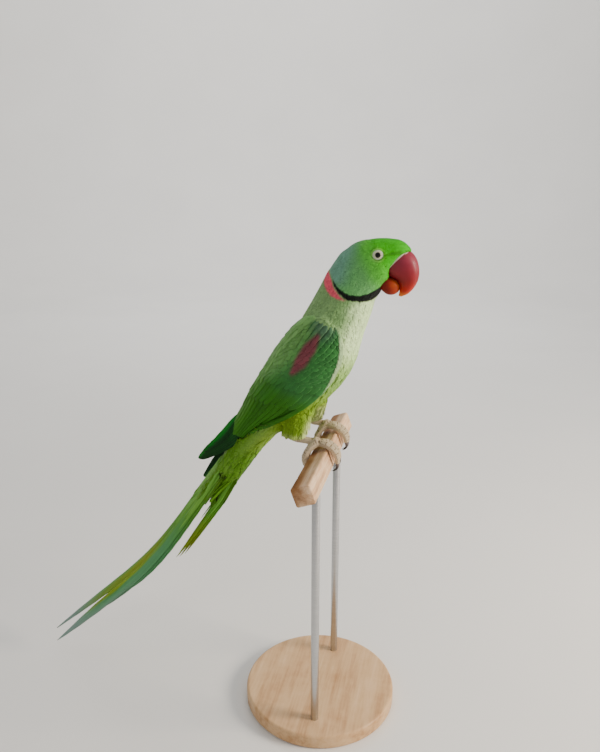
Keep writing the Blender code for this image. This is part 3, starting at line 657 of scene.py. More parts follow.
# Share of the length and of the half width at each row of a vane
CONTOUR = np.array([(0, 0.35), (0.28, 0.82), (0.56, 1.0), (0.80, 0.90), (0.94, 0.58), (1, 0.2)])
FLIGHT = np.array([(0, 0.5), (0.1, 0.75), (0.22, 0.9), (0.36, 1.0), (0.5, 1.0), (0.64, 0.98),
                   (0.76, 0.93), (0.86, 0.82), (0.93, 0.64), (0.975, 0.42), (1, 0.15)])
POINTED = np.array([(0, 0.5), (0.15, 0.85), (0.35, 1.0), (0.55, 0.96), (0.72, 0.80), (0.85, 0.56),
                    (0.94, 0.32), (1, 0.1)])


def inside_out(solids, faces):
    """Which of some solids (solid, point, xyz) have less than no volume with these faces."""
    volume = np.zeros(len(solids))
    for face in faces:
        corners = solids[:, list(face)] - solids[:, :1]
        fan = np.cross(corners[:, 1:-1], corners[:, 2:]).sum(1)
        volume += (corners[:, 0] * fan).sum(1)
    return volume < 0


def vane_faces(grid):
    """Outward faces of closed vanes, each with a domed top, a flat underside and two ends."""
    count, rows, columns = grid.shape[:3]
    last, step = columns - 1, rows * columns
    faces = []
    for here in range(0, step - columns, columns):
        ahead = here + columns
        faces += [(here + c, ahead + c, ahead + c + 1, here + c + 1) for c in range(last)]
        faces.append((here, here + last, ahead + last, ahead))
    faces.append(tuple(range(columns)))
    faces.append(tuple(range(step - 1, step - columns - 1, -1)))
    turned = [face[::-1] for face in faces]
    wrong = inside_out(grid.reshape(count, step, 3), faces)
    return [tuple(i + k * step for i in face)
            for k in range(count) for face in (turned if wrong[k] else faces)]


def coat_piece(name, grid, shares, tones, made_of, places=None, patch=0.003, replaced=(),
               varied=0.05):
    """One piece of vanes from a grid (vane, row, column, xyz) in millimetres. tones are sRGB,
    one for each point, and each vane is a little lighter or darker than the next by varied.
    places are the roots' places on the skin's unwrap, or else each long vane gets a strip."""
    if varied:
        tones = np.clip(tones * rng.uniform(1 - varied, 1 + varied, (len(grid), 1, 1, 1)), 0, 1)
    if places is None:
        places, patch = strips(len(grid))
    shape = grid.shape[:3]
    piece = mesh_piece(name, grid, vane_faces(grid), made_of, replaced)
    across = np.linspace(0, 1, shape[2])
    middle = grid[:, :, shape[2] // 2]
    steps = np.linalg.norm(np.diff(middle, axis=1), axis=-1)
    along_mm = np.pad(np.cumsum(steps, axis=1), ((0, 0), (1, 0)))
    along_mm = along_mm + np.arange(len(grid))[:, None] * 3.7  # so that no two vanes match
    side_mm = np.linalg.norm(grid - middle[:, :, None], axis=-1) * np.sign(across - 0.5)
    pair = np.stack([np.broadcast_to(across, shape),
                     np.broadcast_to(shares[:, None], shape)], -1)
    real = np.stack([side_mm, np.broadcast_to(along_mm[:, :, None], shape)], -1)
    bake = np.asarray(places)[:, None, None, :] + np.asarray(patch) * (pair - 0.5)
    for map_name, values in (("vane", pair), ("vane_mm", real), ("OFBake", bake)):
        add_map(piece.data, map_name, values.reshape(-1, 2))
    paint(piece.data, "plumage", linear(tones.reshape(-1, 3)))


def dome(lines, outs, half_widths, profile, columns, camber):
    """Vanes across some centre lines (vane, row, xyz), bent round by camber of their width."""
    ahead = unit(np.gradient(lines, axis=1))
    side = unit(np.cross(outs, ahead))
    half = (half_widths[:, None] * profile)[..., None, None]
    u = np.linspace(-1, 1, columns)[:, None]
    flat = lines[:, :, None] + side[:, :, None] * half * u
    return flat - outs[:, :, None] * half * u**2 * camber


def fray(grid, amount):
    """Breaks the vanes' tips and sides into uneven barbs."""
    ahead = unit(grid[:, -1] - grid[:, -2])
    length = np.linalg.norm(grid[:, -1] - grid[:, 0], axis=-1, keepdims=True)
    uneven = rng.uniform(-1, 1, (len(grid), grid.shape[2], 1)) * np.reshape(amount, (-1, 1, 1))
    grid[:, -1] += ahead * length * uneven
    grid[:, -2] += ahead * length * uneven * 0.5
    return grid


# ---- skin and coat

EYES = {}
for side_name in SIDES:
    eye_low, eye_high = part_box(f"eye_{side_name}")
    EYES[side_name] = (np.array((eye_low + eye_high) / 2) / MM, (eye_high.x - eye_low.x) / 2 / MM)
EYE_BALL, EYE_SUNK = 4.05, 0.35  # the ball that shows, and how much deeper it sits
EYE_AXES = {side: np.array([0.159, sign * 0.987, 0.03]) for side, sign in SIDES.items()}
BILL_BASE = np.array([58.0, 0.0, 411.0])  # the face's feathers lie away from here
LIE_PLACES = np.array([place for place, way in LIE], float)
LIE_WAYS = unit(np.array([way for place, way in LIE], float))
EYE_BARE, EYE_CLEAR = 3.9, 3.4  # from an eye's axis: no vane starts or reaches nearer
ROOT_TRIES = 190000  # places tried for the small feathers' roots; the crowded ones are dropped


def off_eye(points):
    """How far points near an eye are from its axis, in millimetres, and 99 elsewhere."""
    gaps = []
    for side, (centre, _) in EYES.items():
        away = points - centre
        gap = np.linalg.norm(np.cross(away, EYE_AXES[side]), axis=-1)
        gaps.append(np.where(away @ EYE_AXES[side] > -3, gap, 99.0))
    return np.minimum(*gaps)


def flow(points):
    """The way the plumage points at places on the skin, before it is laid along the surface."""
    gaps = points[:, None, [0, 2]] - LIE_PLACES
    weights = np.exp(-(gaps**2).sum(-1) / (2 * LIE_REACH**2)) + 1e-12
    way = (weights @ LIE_WAYS) / weights.sum(1, keepdims=True)
    way = unit(np.stack([way[:, 0], np.zeros(len(way)), way[:, 1]], 1))
    from_bill = points - BILL_BASE
    gap = np.linalg.norm(from_bill, axis=1)
    way = mix(way, unit(from_bill), 0.75 * smooth(22, 9, gap))
    for centre, radius in EYES.values():
        from_eye = points - centre
        gap = np.linalg.norm(from_eye, axis=1)
        from_eye = unit(from_eye)
        inward = np.minimum((way * from_eye).sum(1), 0) * smooth(radius + 7, radius + 1, gap)
        way = way - from_eye * (1.25 * inward)[:, None]
    return unit(way)


def lie(points, outs):
    way = flow(points)
    return unit(way - outs * (way * outs).sum(1)[:, None])


def comb(roots, lengths, shares, surface, depths, turn, hangs):
    """Centre lines and normals of vanes that grow at roots and lie along the surface, rising
    to the coat's depth at their tips. Where the surface ends they run straight on, and those
    that hang do so where it turns under."""
    closes = 0.07 * smooth(266, 250, roots[:, 2])  # those on the rump close in on the tail
    point, out, _ = surface.nearest(roots)
    lines, outs = [], []
    done = 0.0
    for share in shares:
        if share > done:
            way = lie(point, out)
            way = way * np.cos(turn)[:, None] + np.cross(out, way) * np.sin(turn)[:, None]
            step = ((share - done) * lengths)[:, None]
            onward = point + way * step
            found, normals, gap = surface.nearest(onward)
            stays = ((gap < 1.6) & ~(hangs & (normals[:, 2] < -0.25)))[:, None]
            point = np.where(stays, found, onward - out * step * closes[:, None])
            out = unit(np.where(stays, normals, out))
            done = share
        rise = np.maximum(depths - 0.06 * lengths * (1 - share), 0.1 * depths)
        lines.append(point + out * rise[:, None])
        outs.append(out)
    return np.stack(lines, 1), np.stack(outs, 1)


def scatter(mesh, spacing, seed_count):
    """Places on a mesh, no two nearer than the spacing there."""
    points = points_of(mesh)
    mesh.calc_loop_triangles()
    corners = np.empty(len(mesh.loop_triangles) * 3, np.int32)
    mesh.loop_triangles.foreach_get("vertices", corners)
    triangles = points[corners.reshape(-1, 3)]
    first, second = triangles[:, 1] - triangles[:, 0], triangles[:, 2] - triangles[:, 0]
    area = np.linalg.norm(np.cross(first, second), axis=1) / 2
    weight = area / spacing(triangles.mean(1)) ** 2
    pick = rng.choice(len(triangles), seed_count, p=weight / weight.sum())
    a, b = rng.random((2, seed_count, 1))
    flip = a + b > 1
    a, b = np.where(flip, 1 - a, a), np.where(flip, 1 - b, b)
    seeds = triangles[pick, 0] + first[pick] * a + second[pick] * b
    reach = spacing(seeds)
    tree = KDTree(seed_count)
    for i, seed in enumerate(seeds):
        tree.insert(seed, i)
    tree.balance()
    free = np.ones(seed_count, bool)
    kept = []
    for i, seed in enumerate(seeds):
        if free[i]:
            kept.append(i)
            for _, j, _ in tree.find_range(seed, reach[i]):
                free[j] = False
    return seeds[kept]


def on_thigh(points):
    return smooth(302, 290, points[..., 2]) * smooth(10, 15, np.abs(points[..., 1]))


def vane_size(points):
    """Length and half width of the small feathers in millimetres: tiny on the face, longer
    behind, and drawn out over the root of the tail."""
    share, _ = along_spine(points)
    marks = (0, 0.08, 0.16, 0.26, 0.34, 0.42, 0.52, 0.60, 0.69, 0.76, 0.81, 0.86, 0.91, 1)
    length = np.interp(share, marks, (38, 36, 28, 20, 14, 11, 10, 8.6, 7.2, 5.6, 4.3, 3.5, 3.0,
                                      2.3))
    half = np.interp(share, marks, (2.5, 2.6, 2.8, 3.0, 3.0, 2.9, 2.8, 2.6, 2.1, 1.6, 1.2, 0.95,
                                    0.78, 0.58))
    thigh = on_thigh(points)
    return length + (8.5 - length) * thigh, half + (1.35 - half) * thigh


def coat_depth(points):
    """How far the skin lies inside the plumage's surface, in millimetres."""
    share, _ = along_spine(points)
    depth = np.interp(share, (0, 0.6, 0.76, 0.86, 1.0), (1.3, 1.3, 1.0, 0.75, 0.5))
    return depth * (1 - 0.4 * on_thigh(points))


# Where the plumage stands fuller than its solid: x, z, extra, reach
FULLNESS = [(27, 427, 1.7, 9), (16, 418, 1.4, 7), (60, 427, 0.9, 6), (51, 403.5, 2.2, 5),
            (-17, 273, 1.0, 8)]
FLESH = ("head", "neck", "trunk", "rump", "thigh_left", "thigh_right",
         "wing_left_coverts", "wing_right_coverts")


def build_skin(down):
    mesh = rounded_mesh("skin", FLESH, voxel=1.2, rounds=5)
    points = points_of(mesh)
    fuller = np.zeros(len(points))
    for x, z, extra, reach in FULLNESS:
        gap = np.hypot(points[:, 0] - x, points[:, 2] - z)
        fuller += extra * np.exp(-(gap / reach) ** 2)
    move_points(mesh, points + normals_of(mesh) * (fuller - coat_depth(points))[:, None])
    mesh.shade_smooth()
    skin = as_piece("skin", mesh, down, FLESH)
    paint(mesh, "plumage", linear(body_colour(points_of(mesh))))
    return skin


def unwrap(points):
    """A place on the skin's own unwrap: round the body by along it."""
    share, height = along_spine(points)
    around = np.arctan2(points[:, 1], height) / (2 * pi) + 0.5
    return np.stack([0.02 + 0.96 * around, 0.02 + 0.96 * share], 1)


def build_coat(skin, made_of):
    """The small feathers of the head and body, in pieces from the tail coverts to the face."""
    roots = scatter(skin.data, lambda p: 0.8 * vane_size(p)[1], ROOT_TRIES)
    solids = {name: node.data for name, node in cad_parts.items()}
    flesh = Surface([solids[n] for n in FLESH if not n.startswith("wing")])
    wings = Surface([solids[n] for n in solids if n.startswith("wing") and "primaries" not in n])
    hard = Surface([solids[n] for n in ("cere", "bill_upper", "bill_lower")])
    over_wing = wings.nearest(roots)[2] < flesh.nearest(roots)[2] - 0.05
    at_top = np.hypot(roots[:, 0] - SHOULDER_TOP[0], roots[:, 2] - SHOULDER_TOP[1]) < 10
    on_wing = over_wing & ~at_top  # the wing's own coverts start below its narrow top
    at_bill = hard.nearest(roots)[2] < 0.6
    at_eye = off_eye(roots) < EYE_BARE
    surface = Surface([skin.data] + [solids[n] for n in solids if n.startswith("tail_")])
    _, facing, _ = surface.nearest(roots)
    at_end = (flow(roots) * facing).sum(1) > 0.72  # the blunt end under the coverts
    kept = ~(on_wing | at_bill | at_eye | at_end)
    roots, over_wing = roots[kept], over_wing[kept]
    order = np.argsort(along_spine(roots)[0], kind="stable")
    roots, over_wing = roots[order], over_wing[order]
    lengths, halves = vane_size(roots)
    lengths = lengths * rng.uniform(0.85, 1.18, len(roots))
    depths = coat_depth(roots) * rng.uniform(0.93, 1.04, len(roots))
    turn = rng.normal(0, 0.09, len(roots))
    shares, profile = CONTOUR[:, 0], CONTOUR[:, 1]
    hangs = (roots[:, 2] < 288) & (np.abs(roots[:, 1]) > 12) & (roots[:, 0] > -34)
    room = np.maximum(roots[:, 2] - 271.0, 0) + 1.6  # down to where the shank starts
    lengths = np.where(hangs, np.minimum(lengths, room), lengths)
    lines, outs = comb(roots, lengths, shares, surface, depths, turn, hangs)
    grid = dome(lines, outs, halves * rng.uniform(0.9, 1.12, len(roots)), profile, columns=5,
                camber=0.09)
    grid = fray(grid, 0.6 / lengths)
    # a vane that would stand off into the air is left out, but not the thighs' hanging fringe
    stray = surface.nearest(lines[:, -1])[2] - depths
    clear = stray < np.where(hangs, 9.0, np.where(roots[:, 2] < 250, 3.0, 1.6))
    ahead = unit(lines[:, -1] - lines[:, 0])
    clear &= ((ahead * flow(roots)).sum(1) > 0.88) | (roots[:, 2] > 255)
    clear &= off_eye(grid).reshape(len(roots), -1).min(1) > EYE_CLEAR
    own = body_colour(lines[:, 3])[:, None, None]
    tones = body_colour(grid) * 0.75 + own * 0.25
    on_top = wing_colour(grid, 0.3)
    tones = np.where(over_wing[:, None, None, None], on_top, tones)
    tones = np.clip(tones * rng.uniform(0.94, 1.06, (len(roots), 1, 1, 1)), 0, 1)
    share_here, height = along_spine(roots)
    streak = (smooth(0.24, 0.12, share_here) * smooth(-9, 0, height)
              * rng.uniform(0, 0.6, len(roots)))
    tones = mix(tones, COVERT_STREAK, streak[:, None, None])
    for name, low, high in (("coat_tail_coverts", -1, 0.16), ("coat_belly", 0.16, 0.5),
                            ("coat_breast", 0.5, 0.72), ("coat_neck", 0.72, 0.83),
                            ("coat_cheeks", 0.83, 0.90), ("coat_brow", 0.90, 0.945),
                            ("coat_face", 0.945, 2)):
        rows = clear & (share_here >= low) & (share_here < high)
        coat_piece(name, grid[rows], shares, tones[rows], made_of, unwrap(roots[rows]),
                   varied=0)


# ---- wings


class Blade:
    """The outer surface of a folded wing, with s along its stations and t across them. Each
    row of its table holds front, back, bow, thickness, outward way and chord."""

    def __init__(self, stations, sign):
        self.sign = sign
        rows = catmull_rom(stations, 8)
        front, back = rows[:, :3], rows[:, 3:6]
        outs = np.cross(back - front, np.gradient((front + back) / 2, axis=0))
        outs *= np.sign(outs[:, 1:2])
        chords = np.linalg.norm(back - front, axis=1)
        self.table = np.column_stack([rows, unit(outs), chords])

    def at(self, s):
        place = np.clip(np.asarray(s, float) * 8, 0, len(self.table) - 1)
        low = np.minimum(place.astype(int), len(self.table) - 2)
        part = (place - low)[..., None]
        return self.table[low] * (1 - part) + self.table[low + 1] * part

    def chord(self, s):
        return self.at(s)[..., 11]

    def middle_surface(self, s, t):
        row, t = self.at(s), np.asarray(t, float)[..., None]
        front, back, out = row[..., :3], row[..., 3:6], unit(row[..., 8:11])
        return front + (back - front) * t + out * row[..., 6:7] * 4 * t * (1 - t)

    def surface(self, s, t):
        """Points on the outside and their normals."""
        s, t = np.broadcast_arrays(np.asarray(s, float), np.asarray(t, float))
        normal = np.cross(self.middle_surface(s, t + 0.02) - self.middle_surface(s, t - 0.02),
                          self.middle_surface(s + 0.1, t) - self.middle_surface(s - 0.1, t))
        normal = unit(normal)
        normal *= np.sign((normal * self.at(s)[..., 8:11]).sum(-1, keepdims=True))
        inside = np.clip(t, 0, 1)
        lens = np.sqrt(4 * inside * (1 - inside))[..., None]
        point = self.middle_surface(s, t) + normal * 0.5 * self.at(s)[..., 7:8] * lens
        mirrored = np.array([1, self.sign, 1])
        return point * mirrored, normal * mirrored

    def station_step(self, s, t):
        """Millimetres along the wing for one station."""
        return np.linalg.norm(self.middle_surface(s + 0.5, t) - self.middle_surface(s - 0.5, t),
                              axis=-1)


def wing_vanes(blade, s0, t0, s1, t1, half, low, high, shape=FLIGHT, columns=7, tilt=0.14,
               camber=0.16, front=0.0):
    """Vanes laid on a wing from (s0, t0) to (s1, t1), low to high millimetres off its surface.
    tilt tucks the edge nearer the back under the next vane, and front is as far forward as
    they reach."""
    s0, t0, s1, t1, half, low, high = (
        np.asarray(v, float)[:, None] for v in np.broadcast_arrays(s0, t0, s1, t1, half, low, high)
    )
    v, profile = shape[:, 0][None], shape[:, 1][None]
    s, t = s0 + (s1 - s0) * v, t0 + (t1 - t0) * v
    u = np.linspace(-1, 1, columns)
    wide = half * profile / np.maximum(blade.chord(s), 4.0)
    t_all = t[..., None] + wide[..., None] * u
    s_all = np.broadcast_to(s[..., None], t_all.shape)
    point, normal = blade.surface(s_all, np.clip(t_all, front, 1.03))
    lift = (low + (high - low) * v)[..., None] - tilt * u + camber * (1 - u**2)
    grid = point + normal * lift[..., None]
    return grid if blade.sign > 0 else grid[:, :, ::-1]


def drooped(stations, turn, slip):
    """The stations turned down and outwards about the first one, and drawn out behind."""
    pivot = np.array(stations[0][:3])
    rows = []
    for station in stations:
        moved = []
        for point in (np.array(station[:3]), np.array(station[3:6])):
            away = (point - pivot) * (1 + slip)
            away += np.array([0, 0.8, -1]) * -away[0] * sin(turn)
            moved += list(pivot + away)
        rows.append((*moved, *station[6:]))
    return rows


def strips(count):
    """A strip of the bake map for each of count long vanes: middles, and one strip's size."""
    columns = int(np.ceil(np.sqrt(count * 2)))
    rows = int(np.ceil(count / columns))
    size = np.array([1 / columns, 1 / rows])
    spots = np.array([(i % columns + 0.5, i // columns + 0.5) for i in range(count)]) * size
    return spots, size * 0.9


def build_wing(side, small_vane, long_vane):
    sign = SIDES[side]
    blade = Blade(WING_STATIONS, sign)
    # small coverts in staggered rows from the shoulder down
    s0, t0, length = [], [], []
    for i, s in enumerate(np.arange(0.8, 5.0, 0.235)):
        count = int(blade.chord(s) / 3.5)
        t = (np.arange(count) + 0.25 + 0.5 * (i % 2)) / count + rng.normal(0, 0.006, count)
        s0 += list(s + rng.normal(0, 0.03, count))
        t0 += list(np.clip(t, 0.0, 1.0))
        length += list(np.full(count, np.interp(s, (0, 1, 2, 5), (3.6, 5.2, 8.0, 12.5))))
    s0, t0, length = np.array(s0), np.array(t0), np.array(length)
    length *= rng.uniform(0.9, 1.12, len(s0))
    s1 = s0 + length / blade.station_step(s0, t0)
    grid = wing_vanes(blade, s0, t0, s1, t0, length * 0.32, -0.75, 0.05, CONTOUR, columns=5,
                      tilt=0.06, camber=0.1)
    grid = fray(grid, 0.04)
    places = np.stack([0.02 + 0.96 * t0, 0.02 + 0.96 * s0 / 12], 1)
    coat_piece(f"coat_wing_{side}", grid, CONTOUR[:, 0], wing_colour(grid, t0[:, None, None]),
               small_vane, places, varied=0.06)
    # a pale fringe along the bend, where the wing's edge lies on the breast
    s0 = np.arange(0.5, 5.3, 0.17)
    s0 = s0 + rng.normal(0, 0.03, len(s0))
    t0 = rng.normal(0.002, 0.004, len(s0))
    s1 = s0 + rng.uniform(6.5, 9.5, len(s0)) / blade.station_step(s0, t0)
    wide = rng.uniform(1.2, 1.6, len(s0)) * np.interp(s0, (0.5, 1.6, 3.6, 5.3), (0.5, 1, 1, 0.4))
    grid = fray(wing_vanes(blade, s0, t0, s1, 0.006, wide, -0.35, 0.25, CONTOUR, columns=5,
                           tilt=0.0, camber=0.1, front=-0.03), 0.05)
    pale = np.interp(s0, (0.5, 1.2, 4.2, 5.3), (0.4, 0.9, 0.9, 0.3))[:, None, None]
    places = np.stack([np.full(len(s0), 0.01), 0.02 + 0.96 * s0 / 12], 1)
    tones = mix(wing_colour(grid, 0), WING_EDGE, pale)
    coat_piece(f"wing_fringe_{side}", grid, CONTOUR[:, 0], tones, small_vane,
               places)
    # longer rows: median and greater coverts, then secondaries with the tertials on top
    groups = []
    for start, count, half, reach, low, high in ((4.55, 15, 3.1, 16, -0.9, 0.35),
                                                 (5.15, 12, 3.7, 27, -0.9, 0.45)):
        t = (np.arange(count) + 0.5) / count
        s = np.full(count, start) + 0.5 * t * (1 - t) + rng.normal(0, 0.04, count)
        end = s + reach * rng.uniform(0.94, 1.06, count) / blade.station_step(s, t)
        groups.append((s, t, end, t, half, low, high))
    t = np.linspace(0.10, 0.93, 10)
    end = 11.75 - 1.9 * smooth(0.45, 0.95, t) - 0.9 * smooth(0.3, 0.0, t)
    rank = np.arange(10) * 0.16
    groups.append((np.full(10, 6.0), t, end, np.interp(t, (0, 1), (0.14, 0.88)), 4.6,
                   -2.1 + rank, -1.2 + rank))
    t = np.array([0.02, 0.05, 0.09])  # primary coverts along the lower edge
    groups.append((np.array([6.2, 7.1, 7.9]), t, np.array([8.7, 9.6, 10.4]), t + 0.06, 2.6,
                   -0.6, 0.2))
    grid = np.concatenate([wing_vanes(blade, *group) for group in groups])
    across = np.concatenate([np.broadcast_to(g[1], len(g[0])) for g in groups])
    tones = wing_colour(grid, across[:, None, None])
    coat_piece(f"wing_feathers_{side}", grid, FLIGHT[:, 0], tones, long_vane,
               replaced=(f"wing_{side}_secondaries",))
    # scapulars over the wing's upper edge
    s, t, reach = [], [], []
    for first, last, count, across, long in (
            (0.7, 5.6, 15, 0.86, 13.0), (0.8, 6.2, 15, 0.93, 17.0), (0.6, 6.6, 16, 1.0, 20.0)):
        s += list(np.linspace(first, last, count) + rng.normal(0, 0.05, count))
        t += list(across + rng.normal(0, 0.012, count))
        reach += list(long * rng.uniform(0.8, 1.2, count))
    s, t = np.array(s), np.array(t)
    end = s + np.array(reach) / blade.station_step(s, t)
    grid = wing_vanes(blade, s, t, end, t - 0.10, 2.9, -0.5, 0.35, POINTED, tilt=0.06,
                      camber=0.12)
    light = mix(colour("78aa5e"), colour("4c8a26"), smooth(345, 295, grid[..., 2]))
    tones = mix(light, wing_colour(grid, 0.85), 0.2 + 0.25 * smooth(0.5, 1.0, POINTED[:, :1]))
    coat_piece(f"scapulars_{side}", grid, POINTED[:, 0], tones, long_vane)
    # primaries: the inner ones lie over the outer, so their tips step down to the wing's point
    tips = Blade(drooped(PRIMARY_STATIONS, PRIMARY_DROOP[side], PRIMARY_SLIP[side]), sign)
    t = np.linspace(0.16, 0.80, 8)
    end = np.array([5.9, 6.0, 5.75, 5.4, 5.0, 4.5, 3.9, 3.2])
    rank = np.arange(8) * 0.12
    grid = wing_vanes(tips, np.zeros(8), t, end, np.interp(t, (0, 1), (0.30, 0.75)), 3.6,
                      -1.5 + rank, -1.1 + rank, tilt=0.15, camber=0.3)
    outer = np.broadcast_to(np.linspace(0, 1, 7), grid.shape[:3])
    tones = mix(QUILL, QUILL_EDGE, smooth(0.5, 0.9, outer))
    coat_piece(f"primaries_{side}", grid, FLIGHT[:, 0], tones, long_vane,
               replaced=(f"wing_{side}_primaries",), varied=0.12)


# ---- tail


def ridge_line():
    """The fan's ridge at each millimetre from the root: place, slope and share."""
    point = np.array([TAIL_ROOT[0], 0.0, TAIL_ROOT[1]])
    rows = []
    for i in range(int(TAIL_LENGTH) + 3):
        eased = np.clip((i / TAIL_LENGTH - TAIL_EASE[0]) / (TAIL_EASE[1] - TAIL_EASE[0]), 0, 1)
        slope = TAIL_SLOPE_START + (TAIL_SLOPE_END - TAIL_SLOPE_START) * (1 - cos(pi * eased)) / 2
        rows.append((*point, slope))
        point = point + np.array([-cos(slope), 0, -sin(slope)])
    return np.array(rows)


RIDGE = ridge_line()


def fan_surface(distance, out, level, drop):
    """Points of the arched fan: distance along the ridge (below 0 inside the rump), out from
    it (left is positive), level above the surface, then drop below that."""
    place = [np.interp(distance, np.arange(len(RIDGE)), RIDGE[:, i]) for i in range(4)]
    point, slope = np.stack(place[:3], -1), place[3]
    roll = TAIL_ROLL_START + (TAIL_ROLL_END - TAIL_ROLL_START) * distance / TAIL_LENGTH
    upright = np.stack([-np.sin(slope), np.zeros_like(slope), np.cos(slope)], -1)
    across = np.array([0.0, 1.0, 0.0])
    c, s = np.cos(roll)[..., None], np.sin(roll)[..., None]
    lateral, normal = across * c + upright * s, upright * c - across * s
    bend = (TAIL_ARCH * np.abs(out) / 2)[..., None]
    turned = np.sign(out)[..., None]
    over = lateral * np.cos(bend) * turned - normal * np.sin(bend)
    above = normal * np.cos(2 * bend) + lateral * np.sin(2 * bend) * turned
    along = np.stack([-np.cos(slope), np.zeros_like(slope), -np.sin(slope)], -1)
    point = point + along * np.minimum(distance, 0)[..., None]  # straight on into the rump
    point = point + over * np.abs(out)[..., None] + above * np.asarray(level)[..., None]
    return point - upright * np.asarray(drop)[..., None]


TAIL_GREEN, TAIL_BASE = colour("5c9c2c"), colour("72b03e")
TAIL_OLIVE, TAIL_BLUE = colour("8a9c10"), colour("5a9c62")
TAIL_TIP, TAIL_EDGE = colour("80988e"), colour("849422")


def tail_colour(distance, out, pair, side):
    """sRGB colour of a tail feather: distance from the root and out from the ridge, in mm.
    The right side's long feathers catch the blue-green, and the left side's the olive."""
    tone = mix(TAIL_BASE, TAIL_GREEN, smooth(10, 90, distance))
    if pair > 2:
        return mix(tone, TAIL_EDGE, smooth(25, 85, distance))
    wander = 0.6 * np.sin(distance / 17.0) + 0.4 * np.sin(distance / 6.3 + 1)
    if side == "right":
        tone = layers(
            tone,
            (TAIL_BLUE, smooth(2.6, 5.8, out + wander) * smooth(35, 110, distance)),
            (TAIL_TIP, 0.7 * smooth(6, 12, out) * smooth(120, 200, distance)),
            (TAIL_OLIVE, 0.85 * smooth(5.0, 2.6, out + wander) * smooth(85, 140, distance)
             * smooth(240, 205, distance)),
        )
    else:
        tone = layers(
            tone,
            (TAIL_OLIVE, smooth(9.0, 6.0, out + wander) * smooth(80, 130, distance)
             * smooth(250, 215, distance)),
            (TAIL_BLUE, 0.5 * smooth(120, 240, distance)),
        )
    fine = 0.5 + 0.5 * np.sin(out * 5.2 + 0.01 * distance)
    return mix(tone * (1 - 0.07 * fine[..., None]), TAIL_TIP, smooth(185, 262, distance))


def build_tail(long_vane):
    columns = 9
    shares = 1 - (1 - np.linspace(0, 1, 46)) ** 1.25
    for pair, (length_share, width) in enumerate(zip(PAIR_LENGTHS, PAIR_WIDTHS)):
        for side, sign in SIDES.items():
            length = TAIL_LENGTH * length_share
            half = width / 2 * (1 - 0.35 * shares**1.5) * np.maximum(1 - shares**5, 0) ** 0.7
            half = np.maximum(half, 0.5 * (1 - shares) + 0.35)
            if pair > 2:
                half = half * (1 - 0.42 * shares) * (0.4 + 0.6 * smooth(0, 0.22, shares))
            middle = (PAIR_SHIFTS[pair] + width / 2
                      + length * shares * sin(radians(PAIR_SPLAYS[pair])))
            if pair == 0:  # the two long feathers meet along the ridge until near their tips
                inner = (middle - half) * smooth(0.6, 0.96, shares)
                inner = inner - (0.9 if side == "left" else 0.0) * smooth(0.75, 0.6, shares)
                middle, half = (middle + half + inner) / 2, (middle + half - inner) / 2
            u = np.linspace(-1, 1, columns)[None]
            edge_wave = 1 + 0.03 * np.sin(shares * 60 + pair * 1.7)[:, None] * np.abs(u) ** 3
            out = sign * (middle[:, None] + half[:, None] * u * edge_wave)
            distance = np.broadcast_to((length * 0.985 * shares + 0.3)[:, None], out.shape)
            shaft = np.exp(-((u + 0.12) / 0.10) ** 2) * (0.35 - 0.2 * shares[:, None])
            level = 0.38 * (1 - u**2) * (1 - 0.4 * shares[:, None]) + shaft - LAYER_STEP * pair
            level = level - 0.22 * (1 - shares[:, None])
            if pair == 0 and side == "left":  # its inner edge is tucked under the right one
                level = level - 0.5 * smooth(0.2, -1, u)
            drop = PAIR_DROPS[side][pair]
            grid = fan_surface(distance, out, level, drop)[None]
            tones = tail_colour(distance, np.abs(out), pair, side)[None]
            if sign < 0:  # its rows run from the left edge to the right, as the other side's do
                grid, tones = grid[:, :, ::-1], tones[:, :, ::-1]
            name = f"tail_{side}_{pair + 1}"
            coat_piece(f"{name}_vane", grid, shares, tones, long_vane,
                       [(0.5, 0.5)], (0.12, 0.96), (name,))


def build_long_coverts(long_vane):
    """Long narrow coverts that lie along the root of the tail, over both its groups."""
    starts, outs, lengths, groups = [], [], [], []
    for side, sign in SIDES.items():
        for row, (long, count) in enumerate(((66.0, 6), (54.0, 6), (42.0, 7))):
            for i in range(count):
                starts.append(rng.uniform(0, 3) - 8.5)
                outs.append(sign * (0.9 + 13.0 * (i + 0.5 * (row % 2)) / count))
                lengths.append(8.0 + long * rng.uniform(0.7, 1.25))
                groups.append((0.3 + 0.4 * row, 0.0))
        for row, long in enumerate((58.0, 46.0, 34.0)):
            for i in range(4):
                starts.append(-7.0)
                outs.append(sign * (2.0 + 3.0 * i + 1.4 * (row % 2)))
                lengths.append(long * rng.uniform(0.86, 1.1))
                groups.append((-2.6 + 0.55 * row, PAIR_DROPS[side][3]))
    starts, outs, lengths, groups = map(np.array, (starts, outs, lengths, groups))
    count, columns = len(starts), 7
    v, profile = POINTED[:, 0][None, :, None], POINTED[:, 1][None, :, None]
    u = np.linspace(-1, 1, columns)[None, None]
    shape = (count, len(POINTED), columns)
    distance = np.broadcast_to((starts[:, None, None] + lengths[:, None, None] * v), shape)
    spread = outs[:, None, None] * (1 - 0.12 * v) * (0.72 + 0.28 * smooth(-5, 28, distance))
    across = np.broadcast_to(spread + 1.9 * profile * u, shape)
    level = groups[:, 0, None, None] + 0.25 * (1 - u**2) - 0.5 * v
    grid = fan_surface(distance, across, level, groups[:, 1, None, None])
    pale = rng.uniform(0, 0.4, count) * (groups[:, 1] == 0)
    tones = mix(TAIL_BASE, TAIL_GREEN, rng.uniform(0, 1, count))
    tones = mix(tones, COVERT_STREAK, pale)[:, None, None] * np.ones((*shape, 1))
    coat_piece("coat_long_coverts", grid, POINTED[:, 0], tones, long_vane)


# ---- bill and eyes


